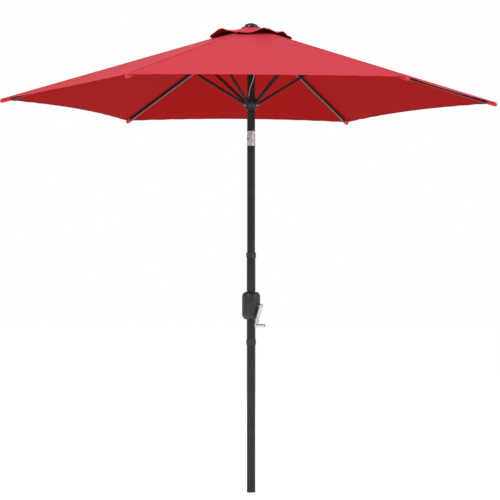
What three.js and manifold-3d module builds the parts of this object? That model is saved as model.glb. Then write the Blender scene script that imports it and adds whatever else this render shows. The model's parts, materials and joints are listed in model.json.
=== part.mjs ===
// A patio umbrella with a crank lift and a push-button tilt.
// Millimetres, +Z up. The origin is the centre of the pole foot's flat underside, and +X points
// along rib 1. The canopy stands open and upright.
import * as THREE from 'three';
import { mergeVertices } from 'three/addons/utils/BufferGeometryUtils.js';
import Module from 'manifold-3d';

const wasm = await Module();
wasm.setup();
const rad = THREE.MathUtils.degToRad;

// ---------------------------------------------------------------- driving dimensions

const FIT = 0.3; // gap between pieces that nest or seat
const SWING_GAP = 0.6; // side gap of a bar in its slot

// pole
const POLE_R = 19.3;
const POLE_WALL = 1.2;
const POLE_SIDES = 24;
const FOOT_CAP_THICK = 4;
const FOOT_PLUG_LENGTH = 22;
const JOINT_Z = 655; // where the lower pole ends and the crank section starts
const JOINT_SPIGOT = 90; // length of the lower pole's swaged end
const CRANK_TUBE_LENGTH = 394;
const MID_TUBE_INSERT = 120;
const COLLAR_WALL = 2.7;
const COLLAR_CHAMFER = 1.5;
const COLLAR_HEIGHT = 24;

// crank housing
const CRANK_UP = 171; // the pole joint up to the crank's axis
const CRANK_AZIMUTH = rad(-40);
const HOUSING_SIDE = 21.2; // from the pole's surface out to the housing's
const HOUSING_BELOW = 62; // crank axis to the housing's underside
const HOUSING_ABOVE = 62;
const HOUSING_SEAM_UP = 26; // crank axis to the seam between body and cap
const HOUSING_WALL = 2.5;
const HOUSING_SHOULDER = 1.2; // flat rim between the pole and the rounded end
const HOUSING_ROUND_HEIGHT = 24;
const LIP_HEIGHT = 6;
const LIP_WALL = 2.4;

// crank
const SHAFT_R = 5;
const BUSHING_WALL = 3;
const BUSHING_FLANGE = 4; // the flange's rim beyond the bush
const BUSHING_DEPTH = 7; // how far the bush reaches in from the housing's surface
const BUSHING_PROUD = 3;
const BUSHING_SEAT = 1.5; // depth of the flange's seat in the housing
const SPOOL_WALL = 3;
const SPOOL_CLEAR = 1.1; // gap between the spool's edges and the pole's bore
const SCREW_R = 2;
const SCREW_HEAD_R = 4;
const SCREW_HEAD_SEAT = 0.6;
const SCREW_DROP = 26; // crank axis down to the screw
const ARM_LENGTH = 95;
const ARM_WIDTH = 20;
const ARM_THICK = 3.2;
const ARM_SWING = rad(-24);
const CRANK_BOSS_WALL = 3;
const CRANK_BOSS_LENGTH = 16;
const GRIP_R = 8;
const GRIP_LENGTH = 44;
const GRIP_WALL = 2.4;
const GRIP_SEAT = 14; // solid inner end of the grip
const GRIP_PIN_R = 2.5;

// tilt joint
const TILT_DROP = 463; // rib pivots down to the tilt pivot
const TILT_AZIMUTH = rad(20); // the way the canopy leans
const TILT_EXTRA = 1; // how far the joint stands proud of the pole
const TILT_BELOW = 44;
const TILT_ABOVE = 21;
const TILT_SPIGOT = 28; // how far each half reaches into its tube
const CHEEK_THICK = 8.8;
const CHEEK_ROUND_IN = 3.3; // how far the cheeks' round ends stay inside the joint's outside
const TONGUE_ROUND_IN = 4.3;
const RIVET_R = 3.5;
const RIVET_RIM = 2.6; // how much wider the rivet's heads are than its shank
const RIVET_HEAD = 1.5; // height of each head
const BUTTON_DROP = 23.5; // pivot down to the button
const BUTTON_R = 4.5;
const BUTTON_PROUD = 2.5;
const BUTTON_LENGTH = 12.3;
const BUTTON_ROOM = 5; // room for the spring behind the button

// canopy frame
const RIBS = 6;
const RIB_AT = rad(360 / RIBS);
const CANOPY_R = 1100;
const RIB_SLOPE = rad(16.5);
const HUB_Z = 2040; // height of the rib pivots
const HUB_DOWN = 14;
const HUB_UP = 12;
const HUB_WALL = 2.9;
const HUB_WEB = 2.2;
const HUB_RIM = 6; // pivot circle out to the hub's edge
const HUB_POCKET_GAP = 1.5; // between a rib's eye and the inner end of its slot
const RING_WIRE_R = 1.2;
const RIB_WIDTH = 9;
const RIB_DEPTH = 15;
const RIB_WALL = 1;
const RIB_CORNER = 2;
const RIB_TIP_LENGTH = 26;
const STRUT_SIDE = 0.5; // how much narrower the strut is than the rib, on each side
const STRUT_DEPTH = 11;
const STRUT_WALL = 1.2;
const STRUT_AT = 353; // rib pivot to strut pin, along the rib
const STRUT_CLEAR = 1; // gap between the rib's underside and the strut's eye
const BRACKET_HALF = 14;
const STRUT_PIN_R = 2;
const BRACKET_WALL = 1.7;
const RUNNER_DROP = 320; // rib pivots down to the runner's pivots
const RUNNER_WALL = 3.5;
const RUNNER_UP = 27;
const RUNNER_DOWN = 28;
const RUNNER_RIM = 6;
const RUNNER_EAR_HALF = 8;
const RUNNER_SLIP = 1.2; // gap between the runner and the tilt joint it passes

// lift cord
const CORD_R = 1.5;
const CORD_SIDES = 8;
const CORD_CHANNEL_R = 3;
const CHANNEL_WALL = 3.3; // metal left between the cord channel and the spigot's outside
const PULLEY_R = 9;
const PULLEY_GROOVE_R = 7.5;
const PULLEY_HALF = 2.6;
const PULLEY_PIN_R = 1.5;
const PULLEY_INSET = 5.8; // the pulley's pin inside the upper tube's outer face
const PULLEY_DROP = 24; // rib pivots down to the pulley
const PULLEY_AZIMUTH = rad(-60);
const CORD_END_AZIMUTH = rad(-120);

// canopy
const CLOTH = 1.5;
const CLOTH_LIFT = 0.8; // gap between a rib and the cloth on it
const PANEL_START_OUT = 12; // hub's edge out to the cloth's inner edge
const PANEL_GAP = 0.3;
const VENT_R = 205;
const VENT_HOLE_R = 12;
const VENT_FLAT_OUT = 4; // hub's edge out to where the vent tier starts to slope
const VENT_LIFT = 8; // vent hem above the canopy
const STRAP_WIDTH = 38;
const STRAP_THICK = 1.5;
const STRAP_LENGTH = 330;
const STRAP_HEM_GAP = 12.6; // canopy hem to the strap's lower end
const STRAP_SEAM_GAP = 23; // rib seam to the strap's near edge, at its upper end
const STRAP_RIB = 3;

// finial
const FLANGE_R = 42.5;
const FLANGE_THICK = 2.5;
const FINIAL_R = 32;
const FINIAL_HEIGHT = 21.4;
const FINIAL_STEM_R = 5;

// ---------------------------------------------------------------- sizes that follow

const BORE_R = POLE_R - POLE_WALL;
const UPPER_R = BORE_R - FIT; // outside of the two upper tubes and of the swaged end
const UPPER_BORE_R = UPPER_R - POLE_WALL;
const SPIGOT_R = UPPER_BORE_R - FIT;
const OVER_POLE_R = POLE_R + FIT;
const COLLAR_R = OVER_POLE_R + COLLAR_WALL;
const CRANK_Z = JOINT_Z + CRANK_UP;
const CRANK_TUBE_TOP = JOINT_Z + CRANK_TUBE_LENGTH;
const HOUSING_R = POLE_R + HOUSING_SIDE;
const HOUSING_ROUND = HOUSING_SIDE - HOUSING_SHOULDER;
const BUSHING_R = SHAFT_R + BUSHING_WALL;
const BUSHING_FLANGE_R = BUSHING_R + BUSHING_FLANGE;
const SPOOL_R = SHAFT_R + SPOOL_WALL;
const SPOOL_EDGE = (BORE_R - SPOOL_CLEAR) / Math.SQRT2; // the spool's radius and half its length
const CRANK_BOSS_R = SHAFT_R + CRANK_BOSS_WALL;
const GRIP_HOLLOW_R = GRIP_R - GRIP_WALL;
const TILT_Z = HUB_Z - TILT_DROP;
const TILT_R = UPPER_R + TILT_EXTRA;
const CHEEK_IN = TILT_R - CHEEK_THICK; // pole axis to the inner face of each cheek
const CHEEK_ROUND = TILT_R - CHEEK_ROUND_IN;
const TONGUE_ROUND = TILT_R - TONGUE_ROUND_IN;
const RIVET_HEAD_R = RIVET_R + RIVET_RIM;
const RIVET_OUT = TILT_R + FIT + RIVET_HEAD;
const BUTTON_OUT = TILT_R + BUTTON_PROUD;
const STRUT_WIDTH = RIB_WIDTH - 2 * STRUT_SIDE;
const STRUT_DROP = (RIB_DEPTH + STRUT_DEPTH) / 2 + STRUT_CLEAR; // strut pin below the rib's middle
const HINGE_R = UPPER_R + FIT + HUB_WALL + HUB_POCKET_GAP + RIB_DEPTH / 2;
const HUB_EDGE_R = HINGE_R + HUB_RIM;
const PANEL_START = HUB_EDGE_R + PANEL_START_OUT;
const VENT_FLAT_R = HUB_EDGE_R + VENT_FLAT_OUT;
const HUB_TOP = HUB_Z + HUB_UP;
const RUNNER_Z = HUB_Z - RUNNER_DROP;
const RUNNER_BORE_R = TILT_R + RUNNER_SLIP;
const RUNNER_R = RUNNER_BORE_R + RUNNER_WALL;
const FOOT_R = RUNNER_R + STRUT_CLEAR + STRUT_DEPTH / 2; // circle of the strut feet
const RIB_LENGTH = (CANOPY_R - HINGE_R) / Math.cos(RIB_SLOPE);
const PULLEY_Z = HUB_Z - PULLEY_DROP;
const PULLEY_REACH = UPPER_R - PULLEY_INSET; // pole axis to the pulley's pin
const CORD_OFFSET = SPIGOT_R - CORD_CHANNEL_R - CHANNEL_WALL; // pole axis to the cord channel
const STRAP_END = CANOPY_R * Math.cos(RIB_AT / 2) - STRAP_HEM_GAP;
const STRAP_START = STRAP_END - STRAP_LENGTH;
const STRAP_X = STRAP_WIDTH / 2 + STRAP_SEAM_GAP - STRAP_START * Math.tan(RIB_AT / 2);
const CORD_LOOP_R = PULLEY_GROOVE_R + CORD_R + FIT;

// Underside and top of the cloth at a corner of the hexagon of this size.
const clothUnder = (r) =>
  HUB_Z - (r - HINGE_R) * Math.tan(RIB_SLOPE) + (RIB_DEPTH / 2 + CLOTH_LIFT) / Math.cos(RIB_SLOPE);
const clothTop = (r) => clothUnder(r) + CLOTH / Math.cos(RIB_SLOPE);

// ---------------------------------------------------------------- finishes

const finish = (color, roughness, metalness) =>
  new THREE.MeshStandardMaterial({ color, roughness, metalness, flatShading: true });
const poleCoat = () => finish(0x1b1b1d, 0.35, 0.4);
const blackPlastic = () => finish(0x161618, 0.45, 0);
const zinc = () => finish(0xb9bcc0, 0.3, 0.9);
const springSteel = () => finish(0x8d9094, 0.35, 0.9);
const cordFibre = () => finish(0xc9c7c2, 0.9, 0);
const canopyCloth = () => finish(0xc83240, 0.85, 0);

// ---------------------------------------------------------------- shape tools

// A solid of revolution about Z. The outline is [radius, height] points, up on its outer side.
function turned(outline, sides = 16) {
  const points = outline.map(([r, z]) => new THREE.Vector2(r, z));
  return new THREE.LatheGeometry(points, sides).rotateX(Math.PI / 2);
}

function ring(outer, inner, bottom, top, sides = POLE_SIDES) {
  const outline = [[inner, bottom], [outer, bottom], [outer, top], [inner, top], [inner, bottom]];
  return turned(outline, sides);
}

function rod(radius, bottom, top, sides = 16) {
  return turned([[0, bottom], [radius, bottom], [radius, top], [0, top]], sides);
}

// Points on an elliptical arc of an outline, angles in degrees.
function arc(r, z, wide, high, from, to, steps = 4) {
  return Array.from({ length: steps + 1 }, (_, i) => {
    const angle = rad(from + ((to - from) * i) / steps);
    return [r + wide * Math.cos(angle), z + high * Math.sin(angle)];
  });
}

const alongX = (geometry) => geometry.rotateY(Math.PI / 2);
const alongY = (geometry) => geometry.rotateX(-Math.PI / 2);

function block(x, y, z, wide, deep, high) {
  return new THREE.BoxGeometry(wide, deep, high).translate(x, y, z);
}

// A bar along +X from a section drawn in Y and Z.
function bar(section, start, end) {
  const options = { depth: end - start, bevelEnabled: false, curveSegments: 1 };
  const turn = new THREE.Matrix4().makeBasis(
    new THREE.Vector3(0, 1, 0),
    new THREE.Vector3(0, 0, 1),
    new THREE.Vector3(1, 0, 0),
  );
  return new THREE.ExtrudeGeometry(section, options).applyMatrix4(turn).translate(start, 0, 0);
}

// A plate standing in the XZ plane, from near to far along Y.
function plate(shape, near, far, curveSegments = 6) {
  const options = { depth: far - near, bevelEnabled: false, curveSegments };
  return new THREE.ExtrudeGeometry(shape, options).rotateX(Math.PI / 2).translate(0, far, 0);
}

function roundedBox(wide, high, corner) {
  const shape = new THREE.Shape();
  const x = wide / 2 - corner;
  const y = high / 2 - corner;
  shape.absarc(x, y, corner, 0, rad(90));
  shape.absarc(-x, y, corner, rad(90), rad(180));
  shape.absarc(-x, -y, corner, rad(180), rad(270));
  shape.absarc(x, -y, corner, rad(270), rad(360));
  return shape;
}

function boxHole(wide, high) {
  const hole = new THREE.Path();
  hole.moveTo(-wide / 2, -high / 2);
  hole.lineTo(-wide / 2, high / 2);
  hole.lineTo(wide / 2, high / 2);
  hole.lineTo(wide / 2, -high / 2);
  hole.closePath();
  return hole;
}

// A round wire or cord along a curve.
function wire(curve, radius, steps, sides = CORD_SIDES) {
  const corners = Array.from({ length: sides }, (_, i) => {
    const angle = (i * 2 * Math.PI) / sides;
    return new THREE.Vector2(radius * Math.cos(angle), radius * Math.sin(angle));
  });
  const options = { steps, extrudePath: curve, bevelEnabled: false };
  return new THREE.ExtrudeGeometry(new THREE.Shape(corners), options);
}

class Coil extends THREE.Curve {
  constructor(radius, start, end, turns) {
    super();
    Object.assign(this, { radius, start, end, turns });
  }

  getPoint(t, target = new THREE.Vector3()) {
    const angle = t * this.turns * 2 * Math.PI;
    const x = this.start + (this.end - this.start) * t;
    return target.set(x, this.radius * Math.cos(angle), this.radius * Math.sin(angle));
  }
}

// A curve whose steps follow its points, so that they lie close together round a tight turn.
class Route extends THREE.CatmullRomCurve3 {
  constructor(points) {
    super(points, false, 'chordal');
  }

  getUtoTmapping(u) {
    return u;
  }

  wire(radius, stepsEach) {
    return wire(this, radius, stepsEach * (this.points.length - 1));
  }
}

function toSolid(geometry) {
  const bare = geometry.clone();
  bare.deleteAttribute('normal');
  bare.deleteAttribute('uv');
  const merged = mergeVertices(bare, 1e-4);
  const index = merged.index.array;
  const triangles = [];
  for (let i = 0; i < index.length; i += 3) {
    const [a, b, c] = index.slice(i, i + 3);
    if (a !== b && b !== c && c !== a) triangles.push(a, b, c);
  }
  const vertProperties = new Float32Array(merged.attributes.position.array);
  const triVerts = new Uint32Array(triangles);
  return new wasm.Manifold(new wasm.Mesh({ numProp: 3, vertProperties, triVerts }));
}

// The base with the joined shapes added and the cut shapes taken away.
function worked(base, { join = [], cut = [], keep = [] }) {
  let solid = toSolid(base);
  for (const shape of join) solid = solid.add(toSolid(shape));
  for (const shape of keep) solid = solid.intersect(toSolid(shape));
  for (const shape of cut) solid = solid.subtract(toSolid(shape));
  const mesh = solid.getMesh();
  const geometry = new THREE.BufferGeometry();
  geometry.setAttribute('position', new THREE.BufferAttribute(mesh.vertProperties, 3));
  geometry.setIndex(new THREE.BufferAttribute(mesh.triVerts, 1));
  geometry.computeVertexNormals();
  return geometry;
}

function piece(parent, name, geometry, material) {
  const mesh = new THREE.Mesh(geometry, material);
  mesh.name = name;
  parent.add(mesh);
}

const umbrella = new THREE.Group();

// ---------------------------------------------------------------- lower pole

function footCap() {
  const plugTop = FOOT_CAP_THICK + FOOT_PLUG_LENGTH;
  const outline = [
    [0, 0], [POLE_R, 0], [POLE_R, FOOT_CAP_THICK],
    [UPPER_R, FOOT_CAP_THICK], [UPPER_R, plugTop], [0, plugTop],
  ];
  return turned(outline, POLE_SIDES);
}

// The top end is swaged down to slide into the crank section.
function lowerTube() {
  const bottom = FOOT_CAP_THICK + FIT;
  const shoulder = JOINT_Z - 2 * FIT;
  const top = JOINT_Z + JOINT_SPIGOT;
  const outline = [
    [BORE_R, bottom], [POLE_R, bottom], [POLE_R, shoulder], [UPPER_R, shoulder], [UPPER_R, top],
    [UPPER_BORE_R, top], [UPPER_BORE_R, shoulder - 8], [BORE_R, shoulder - 12], [BORE_R, bottom],
  ];
  return turned(outline, POLE_SIDES);
}

piece(umbrella, 'foot_cap', footCap(), blackPlastic());
piece(umbrella, 'lower_tube', lowerTube(), poleCoat());

// ---------------------------------------------------------------- crank section of the pole

const crankFrame = new THREE.Group();
crankFrame.position.z = CRANK_Z;
crankFrame.rotation.z = CRANK_AZIMUTH;
umbrella.add(crankFrame);

// Heights in this frame are counted from the crank's axis.
function crankTube() {
  const tube = ring(POLE_R, BORE_R, JOINT_Z - CRANK_Z, CRANK_TUBE_TOP - CRANK_Z);
  const shaftBore = alongX(rod(SHAFT_R + SWING_GAP, -2 * POLE_R, 2 * POLE_R, 16));
  const screwBore = alongX(rod(SCREW_R + FIT, -2 * POLE_R, 0, 8)).translate(0, 0, -SCREW_DROP);
  return worked(tube, { cut: [shaftBore, screwBore] });
}

function housingBody() {
  const middle = HOUSING_R - HOUSING_ROUND;
  const bottom = -HOUSING_BELOW;
  const arcZ = bottom + HOUSING_ROUND_HEIGHT;
  const rim = HOUSING_SEAM_UP - FIT;
  const inner = [HOUSING_ROUND - HOUSING_WALL, HOUSING_ROUND_HEIGHT - HOUSING_WALL];
  const outline = [
    [OVER_POLE_R, bottom],
    ...arc(middle, arcZ, HOUSING_ROUND, HOUSING_ROUND_HEIGHT, -90, 0),
    [HOUSING_R, rim],
    [HOUSING_R - HOUSING_WALL, rim],
    ...arc(middle, arcZ, ...inner, 0, -90),
    [OVER_POLE_R, bottom + HOUSING_WALL],
    [OVER_POLE_R, bottom],
  ];
  const seatEnd = HOUSING_R + BUSHING_DEPTH;
  const bushingBore = alongX(rod(BUSHING_R + FIT, POLE_R, seatEnd));
  const seat = alongX(rod(BUSHING_FLANGE_R + FIT, HOUSING_R - BUSHING_SEAT, seatEnd));
  const screwBore = alongX(rod(SCREW_R + FIT, -seatEnd, -POLE_R, 8));
  const headSeat = alongX(rod(SCREW_HEAD_R + FIT, -seatEnd, SCREW_HEAD_SEAT - HOUSING_R, 8));
  screwBore.translate(0, 0, -SCREW_DROP);
  headSeat.translate(0, 0, -SCREW_DROP);
  return worked(turned(outline, POLE_SIDES), { cut: [bushingBore, seat, screwBore, headSeat] });
}

function housingCap() {
  const middle = HOUSING_R - HOUSING_ROUND;
  const top = HOUSING_ABOVE;
  const arcZ = top - HOUSING_ROUND_HEIGHT;
  const inside = HOUSING_R - HOUSING_WALL;
  const lipOut = inside - FIT;
  const lipIn = lipOut - LIP_WALL;
  const seam = HOUSING_SEAM_UP;
  const inner = [HOUSING_ROUND - HOUSING_WALL, HOUSING_ROUND_HEIGHT - HOUSING_WALL];
  const outline = [
    [lipIn, seam - LIP_HEIGHT], [lipOut, seam - LIP_HEIGHT], [lipOut, seam], [HOUSING_R, seam],
    ...arc(middle, arcZ, HOUSING_ROUND, HOUSING_ROUND_HEIGHT, 0, 90),
    [OVER_POLE_R, top],
    [OVER_POLE_R, top - HOUSING_WALL],
    ...arc(middle, arcZ, ...inner, 90, 0),
    [inside, seam + 4], [lipIn, seam + 1], [lipIn, seam - LIP_HEIGHT],
  ];
  return turned(outline, POLE_SIDES);
}

// A flanged bush that carries the crank shaft in the housing's wall.
function shaftBushing() {
  const bore = SHAFT_R + FIT;
  const start = HOUSING_R - BUSHING_DEPTH;
  const flange = HOUSING_R - BUSHING_SEAT + FIT;
  const end = HOUSING_R + BUSHING_PROUD;
  const outline = [
    [bore, start], [BUSHING_R, start], [BUSHING_R, flange], [BUSHING_FLANGE_R, flange],
    [BUSHING_FLANGE_R, end - 1], [BUSHING_FLANGE_R - 1, end], [bore, end], [bore, start],
  ];
  return alongX(turned(outline));
}

function housingScrew() {
  const headTop = HOUSING_R + 1.4;
  const headBottom = HOUSING_R - SCREW_HEAD_SEAT + FIT;
  const outline = [
    [0, POLE_R - 4], [SCREW_R, POLE_R - 4], [SCREW_R, headBottom], [SCREW_HEAD_R, headBottom],
    [SCREW_HEAD_R, headTop - 0.8], [SCREW_HEAD_R - 1, headTop], [0, headTop],
  ];
  return alongX(turned(outline, 8)).rotateZ(Math.PI).translate(0, 0, -SCREW_DROP);
}

// The wrap spring of the one-way brake, coiled round the shaft between pole and bushing.
function brakeSpring() {
  const wireR = 0.8;
  const start = POLE_R + wireR + 1;
  const end = HOUSING_R - BUSHING_DEPTH - wireR - 1;
  return wire(new Coil(SHAFT_R + FIT + wireR + 0.4, start, end, 4), wireR, 32, 5);
}

piece(crankFrame, 'crank_tube', crankTube(), poleCoat());
piece(crankFrame, 'housing_body', housingBody(), blackPlastic());
piece(crankFrame, 'housing_cap', housingCap(), blackPlastic());
piece(crankFrame, 'shaft_bushing', shaftBushing(), blackPlastic());
piece(crankFrame, 'housing_screw', housingScrew(), springSteel());
piece(crankFrame, 'brake_spring', brakeSpring(), springSteel());

// A chamfered ring round the pole. One with a step fits a thinner tube above it.
function collar(bottom, upperBore = OVER_POLE_R, stepZ = 0) {
  const top = bottom + COLLAR_HEIGHT;
  const edge = COLLAR_CHAMFER;
  const outline = [
    [OVER_POLE_R, bottom], [COLLAR_R - edge, bottom], [COLLAR_R, bottom + edge],
    [COLLAR_R, top - edge], [COLLAR_R - edge, top], [upperBore, top],
  ];
  if (upperBore < OVER_POLE_R) outline.push([upperBore, stepZ], [OVER_POLE_R, stepZ]);
  return turned([...outline, outline[0]], POLE_SIDES);
}

piece(umbrella, 'joint_collar', collar(JOINT_Z - 2), blackPlastic());
const upperCollarBottom = CRANK_TUBE_TOP - COLLAR_HEIGHT / 2;
const upperCollar = collar(upperCollarBottom, UPPER_R + FIT, CRANK_TUBE_TOP + FIT);
piece(umbrella, 'upper_collar', upperCollar, blackPlastic());
const midTubeBottom = CRANK_TUBE_TOP - MID_TUBE_INSERT;
const midTube = ring(UPPER_R, UPPER_BORE_R, midTubeBottom, TILT_Z - TILT_BELOW - FIT);
piece(umbrella, 'mid_tube', midTube, poleCoat());

// ---------------------------------------------------------------- tilt joint

const tiltFrame = new THREE.Group();
tiltFrame.position.z = TILT_Z;
tiltFrame.rotation.z = TILT_AZIMUTH;
umbrella.add(tiltFrame);

const tiltBaseTop = -TONGUE_ROUND - 1;
const channelHalf = 2 * (TILT_BELOW + TILT_SPIGOT);
const cordChannel = () =>
  rod(CORD_CHANNEL_R, -channelHalf, channelHalf, 8).translate(-CORD_OFFSET, 0, 0);
const buttonInner = BUTTON_LENGTH - BUTTON_PROUD - TILT_R; // its inner end, from the pole axis
const buttonPocket = buttonInner + BUTTON_ROOM;

// A tab with a round end on the pivot and its square end at the given height.
function roundTab(radius, squareEnd) {
  const shape = new THREE.Shape();
  const down = squareEnd < 0;
  shape.absarc(0, 0, radius, down ? 0 : rad(180), down ? rad(180) : rad(360));
  shape.lineTo(down ? -radius : radius, squareEnd);
  shape.lineTo(down ? radius : -radius, squareEnd);
  shape.closePath();
  return shape;
}

function tiltFork() {
  const base = rod(TILT_R, -TILT_BELOW, tiltBaseTop, POLE_SIDES);
  const spigot = rod(SPIGOT_R, -TILT_BELOW - TILT_SPIGOT, -TILT_BELOW + 1, POLE_SIDES);
  const cheeks = roundTab(CHEEK_ROUND, tiltBaseTop - 1);
  const far = TILT_R + 2;
  const gap = block(0, 0, 0, 4 * TILT_R, 2 * CHEEK_IN, -2 * tiltBaseTop);
  const barrel = rod(TILT_R, -channelHalf, channelHalf, POLE_SIDES);
  const rivetBore = alongY(rod(RIVET_R + FIT, -far, far, 12));
  const buttonBore = alongY(rod(BUTTON_R + FIT, -far, buttonPocket, 12));
  return worked(base, {
    join: [spigot, plate(cheeks, -far, far)],
    keep: [barrel],
    cut: [gap, rivetBore, buttonBore.translate(0, 0, -BUTTON_DROP), cordChannel()],
  });
}

function tiltTongue() {
  const half = CHEEK_IN - SWING_GAP;
  const tab = plate(roundTab(TONGUE_ROUND, TILT_ABOVE - 2), -half, half);
  const flange = rod(TILT_R, TILT_ABOVE - 3, TILT_ABOVE, POLE_SIDES);
  const spigot = rod(SPIGOT_R, TILT_ABOVE - 1, TILT_ABOVE + TILT_SPIGOT, POLE_SIDES);
  const rivetBore = alongY(rod(RIVET_R + FIT, -2 * half, 2 * half, 12));
  return worked(tab, { join: [flange, spigot], cut: [rivetBore, cordChannel()] });
}

function tiltRivet() {
  const seat = TILT_R + FIT;
  const headR = RIVET_HEAD_R;
  const outline = [
    [0, -RIVET_OUT], [headR - 1.5, -RIVET_OUT], [headR, -seat - 0.6], [headR, -seat],
    [RIVET_R, -seat], [RIVET_R, seat], [headR, seat], [headR, seat + 0.6],
    [headR - 1.5, RIVET_OUT], [0, RIVET_OUT],
  ];
  return alongY(turned(outline, 12));
}

function tiltButton() {
  const outline = [
    [0, -buttonInner], [BUTTON_R, -buttonInner], [BUTTON_R, BUTTON_OUT - 1.2],
    [BUTTON_R - 1, BUTTON_OUT - 0.3], [0, BUTTON_OUT],
  ];
  return alongY(turned(outline, 12)).rotateZ(Math.PI).translate(0, 0, -BUTTON_DROP);
}

function buttonSpring() {
  const wireR = 0.5;
  const start = buttonInner + wireR + FIT;
  const end = buttonPocket - wireR - FIT;
  const coil = wire(new Coil(BUTTON_R - 1.2, start, end, 2.5), wireR, 20, 5);
  return coil.rotateZ(Math.PI / 2).translate(0, 0, -BUTTON_DROP);
}

piece(tiltFrame, 'tilt_fork', tiltFork(), zinc());
piece(tiltFrame, 'tilt_tongue', tiltTongue(), zinc());
piece(tiltFrame, 'tilt_rivet', tiltRivet(), zinc());
piece(tiltFrame, 'tilt_button', tiltButton(), zinc());
piece(tiltFrame, 'button_spring', buttonSpring(), springSteel());

// ---------------------------------------------------------------- upper pole, hub and pulley

const pulleyFrame = new THREE.Group();
pulleyFrame.position.z = PULLEY_Z;
pulleyFrame.rotation.z = PULLEY_AZIMUTH;
umbrella.add(pulleyFrame);
const pulleyPinHalf = Math.sqrt(UPPER_R ** 2 - PULLEY_REACH ** 2) - 0.5;

function upperTube() {
  const tube = ring(UPPER_R, UPPER_BORE_R, TILT_Z + TILT_ABOVE + FIT, HUB_TOP - HUB_WEB - 2 * FIT);
  tube.translate(0, 0, -PULLEY_Z);
  tube.rotateZ(-PULLEY_AZIMUTH);
  const high = 2 * (PULLEY_R + CORD_R + 2);
  const window = block(UPPER_R, 0, 0, UPPER_R, 2 * PULLEY_HALF + 3, high);
  const pinBore = alongY(rod(PULLEY_PIN_R + FIT, -2 * UPPER_R, 2 * UPPER_R, 8));
  return worked(tube, { cut: [window, pinBore.translate(PULLEY_REACH, 0, 0)] });
}

function cordPulley() {
  const rim = 0.8;
  const outline = [
    [PULLEY_PIN_R + FIT, -PULLEY_HALF], [PULLEY_R, -PULLEY_HALF], [PULLEY_R, rim - PULLEY_HALF],
    [PULLEY_GROOVE_R, -rim], [PULLEY_GROOVE_R, rim], [PULLEY_R, PULLEY_HALF - rim],
    [PULLEY_R, PULLEY_HALF], [PULLEY_PIN_R + FIT, PULLEY_HALF], [PULLEY_PIN_R + FIT, -PULLEY_HALF],
  ];
  return alongY(turned(outline)).translate(PULLEY_REACH, 0, 0);
}

const pulleyPin = alongY(rod(PULLEY_PIN_R, -pulleyPinHalf, pulleyPinHalf, 8));
piece(pulleyFrame, 'upper_tube', upperTube(), poleCoat());
piece(pulleyFrame, 'cord_pulley', cordPulley(), blackPlastic());
piece(pulleyFrame, 'pulley_pin', pulleyPin.translate(PULLEY_REACH, 0, 0), springSteel());

// A ring of teeth: one radial slot for each rib or strut, open above, below and outwards.
function slots(inner, outer, width, bottom, top) {
  return Array.from({ length: RIBS }, (_, i) => {
    const middle = (inner + outer) / 2 + 2;
    const slot = block(middle, 0, (bottom + top) / 2, outer - inner + 4, width, top - bottom + 2);
    return slot.rotateZ(i * RIB_AT);
  });
}

// The crown that the ribs hinge in. Its groove holds the wire ring that is their common pin.
function hub() {
  const bore = UPPER_R + FIT;
  const edge = HUB_EDGE_R;
  const bottom = HUB_Z - HUB_DOWN;
  const web = HUB_TOP - HUB_WEB;
  const grooveZ = HUB_Z - RING_WIRE_R - FIT;
  const groove = RING_WIRE_R + SWING_GAP;
  const outline = [
    [0, web], [bore, web], [bore, bottom], [edge - 3, bottom], [edge, bottom + 4],
    [edge, HUB_TOP - 2], [edge - 2, HUB_TOP], [HINGE_R + groove, HUB_TOP],
    [HINGE_R + groove, grooveZ], [HINGE_R - groove, grooveZ], [HINGE_R - groove, HUB_TOP],
    [0, HUB_TOP],
  ];
  const inner = HINGE_R - RIB_DEPTH / 2 - HUB_POCKET_GAP;
  const width = RIB_WIDTH + 2 * SWING_GAP;
  return worked(turned(outline, POLE_SIDES), { cut: slots(inner, edge, width, bottom, HUB_TOP) });
}

piece(umbrella, 'hub', hub(), blackPlastic());
const hubRing = new THREE.TorusGeometry(HINGE_R, RING_WIRE_R, 5, 36).translate(0, 0, HUB_Z);
piece(umbrella, 'hub_ring', hubRing, springSteel());

// ---------------------------------------------------------------- runner

// Two grooves down the bore, which let the runner pass the tilt joint's rivet heads and button.
function guideGrooves(low, high) {
  const reach = Math.max(RIVET_OUT, BUTTON_OUT) + SWING_GAP;
  const wide = 2 * (Math.max(RIVET_HEAD_R, BUTTON_R) + SWING_GAP);
  const across = block(0, 0, (low + high) / 2, wide, 3 * reach, high - low + 4);
  return worked(rod(reach, low - 1, high + 1, POLE_SIDES), {
    keep: [across.rotateZ(TILT_AZIMUTH)],
  });
}

function runner() {
  const ear = FOOT_R + RUNNER_RIM;
  const low = RUNNER_Z - RUNNER_DOWN;
  const high = RUNNER_Z + RUNNER_UP;
  const outline = [
    [RUNNER_BORE_R, low], [RUNNER_R, low], [RUNNER_R, RUNNER_Z - RUNNER_EAR_HALF],
    [ear - 2, RUNNER_Z - RUNNER_EAR_HALF], [ear, RUNNER_Z - RUNNER_EAR_HALF + 2],
    [ear, RUNNER_Z + RUNNER_EAR_HALF - 2], [ear - 2, RUNNER_Z + RUNNER_EAR_HALF],
    [RUNNER_R, RUNNER_Z + RUNNER_EAR_HALF], [RUNNER_R, high], [RUNNER_BORE_R, high],
    [RUNNER_BORE_R, low],
  ];
  const inner = FOOT_R - STRUT_DEPTH / 2 - 0.5;
  const width = STRUT_WIDTH + 2 * SWING_GAP;
  const bottom = RUNNER_Z - RUNNER_EAR_HALF;
  const top = RUNNER_Z + RUNNER_EAR_HALF;
  return worked(turned(outline, POLE_SIDES), {
    cut: [...slots(inner, ear, width, bottom, top), guideGrooves(low, high)],
  });
}

piece(umbrella, 'runner', runner(), blackPlastic());

// ---------------------------------------------------------------- ribs, struts and canopy

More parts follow.
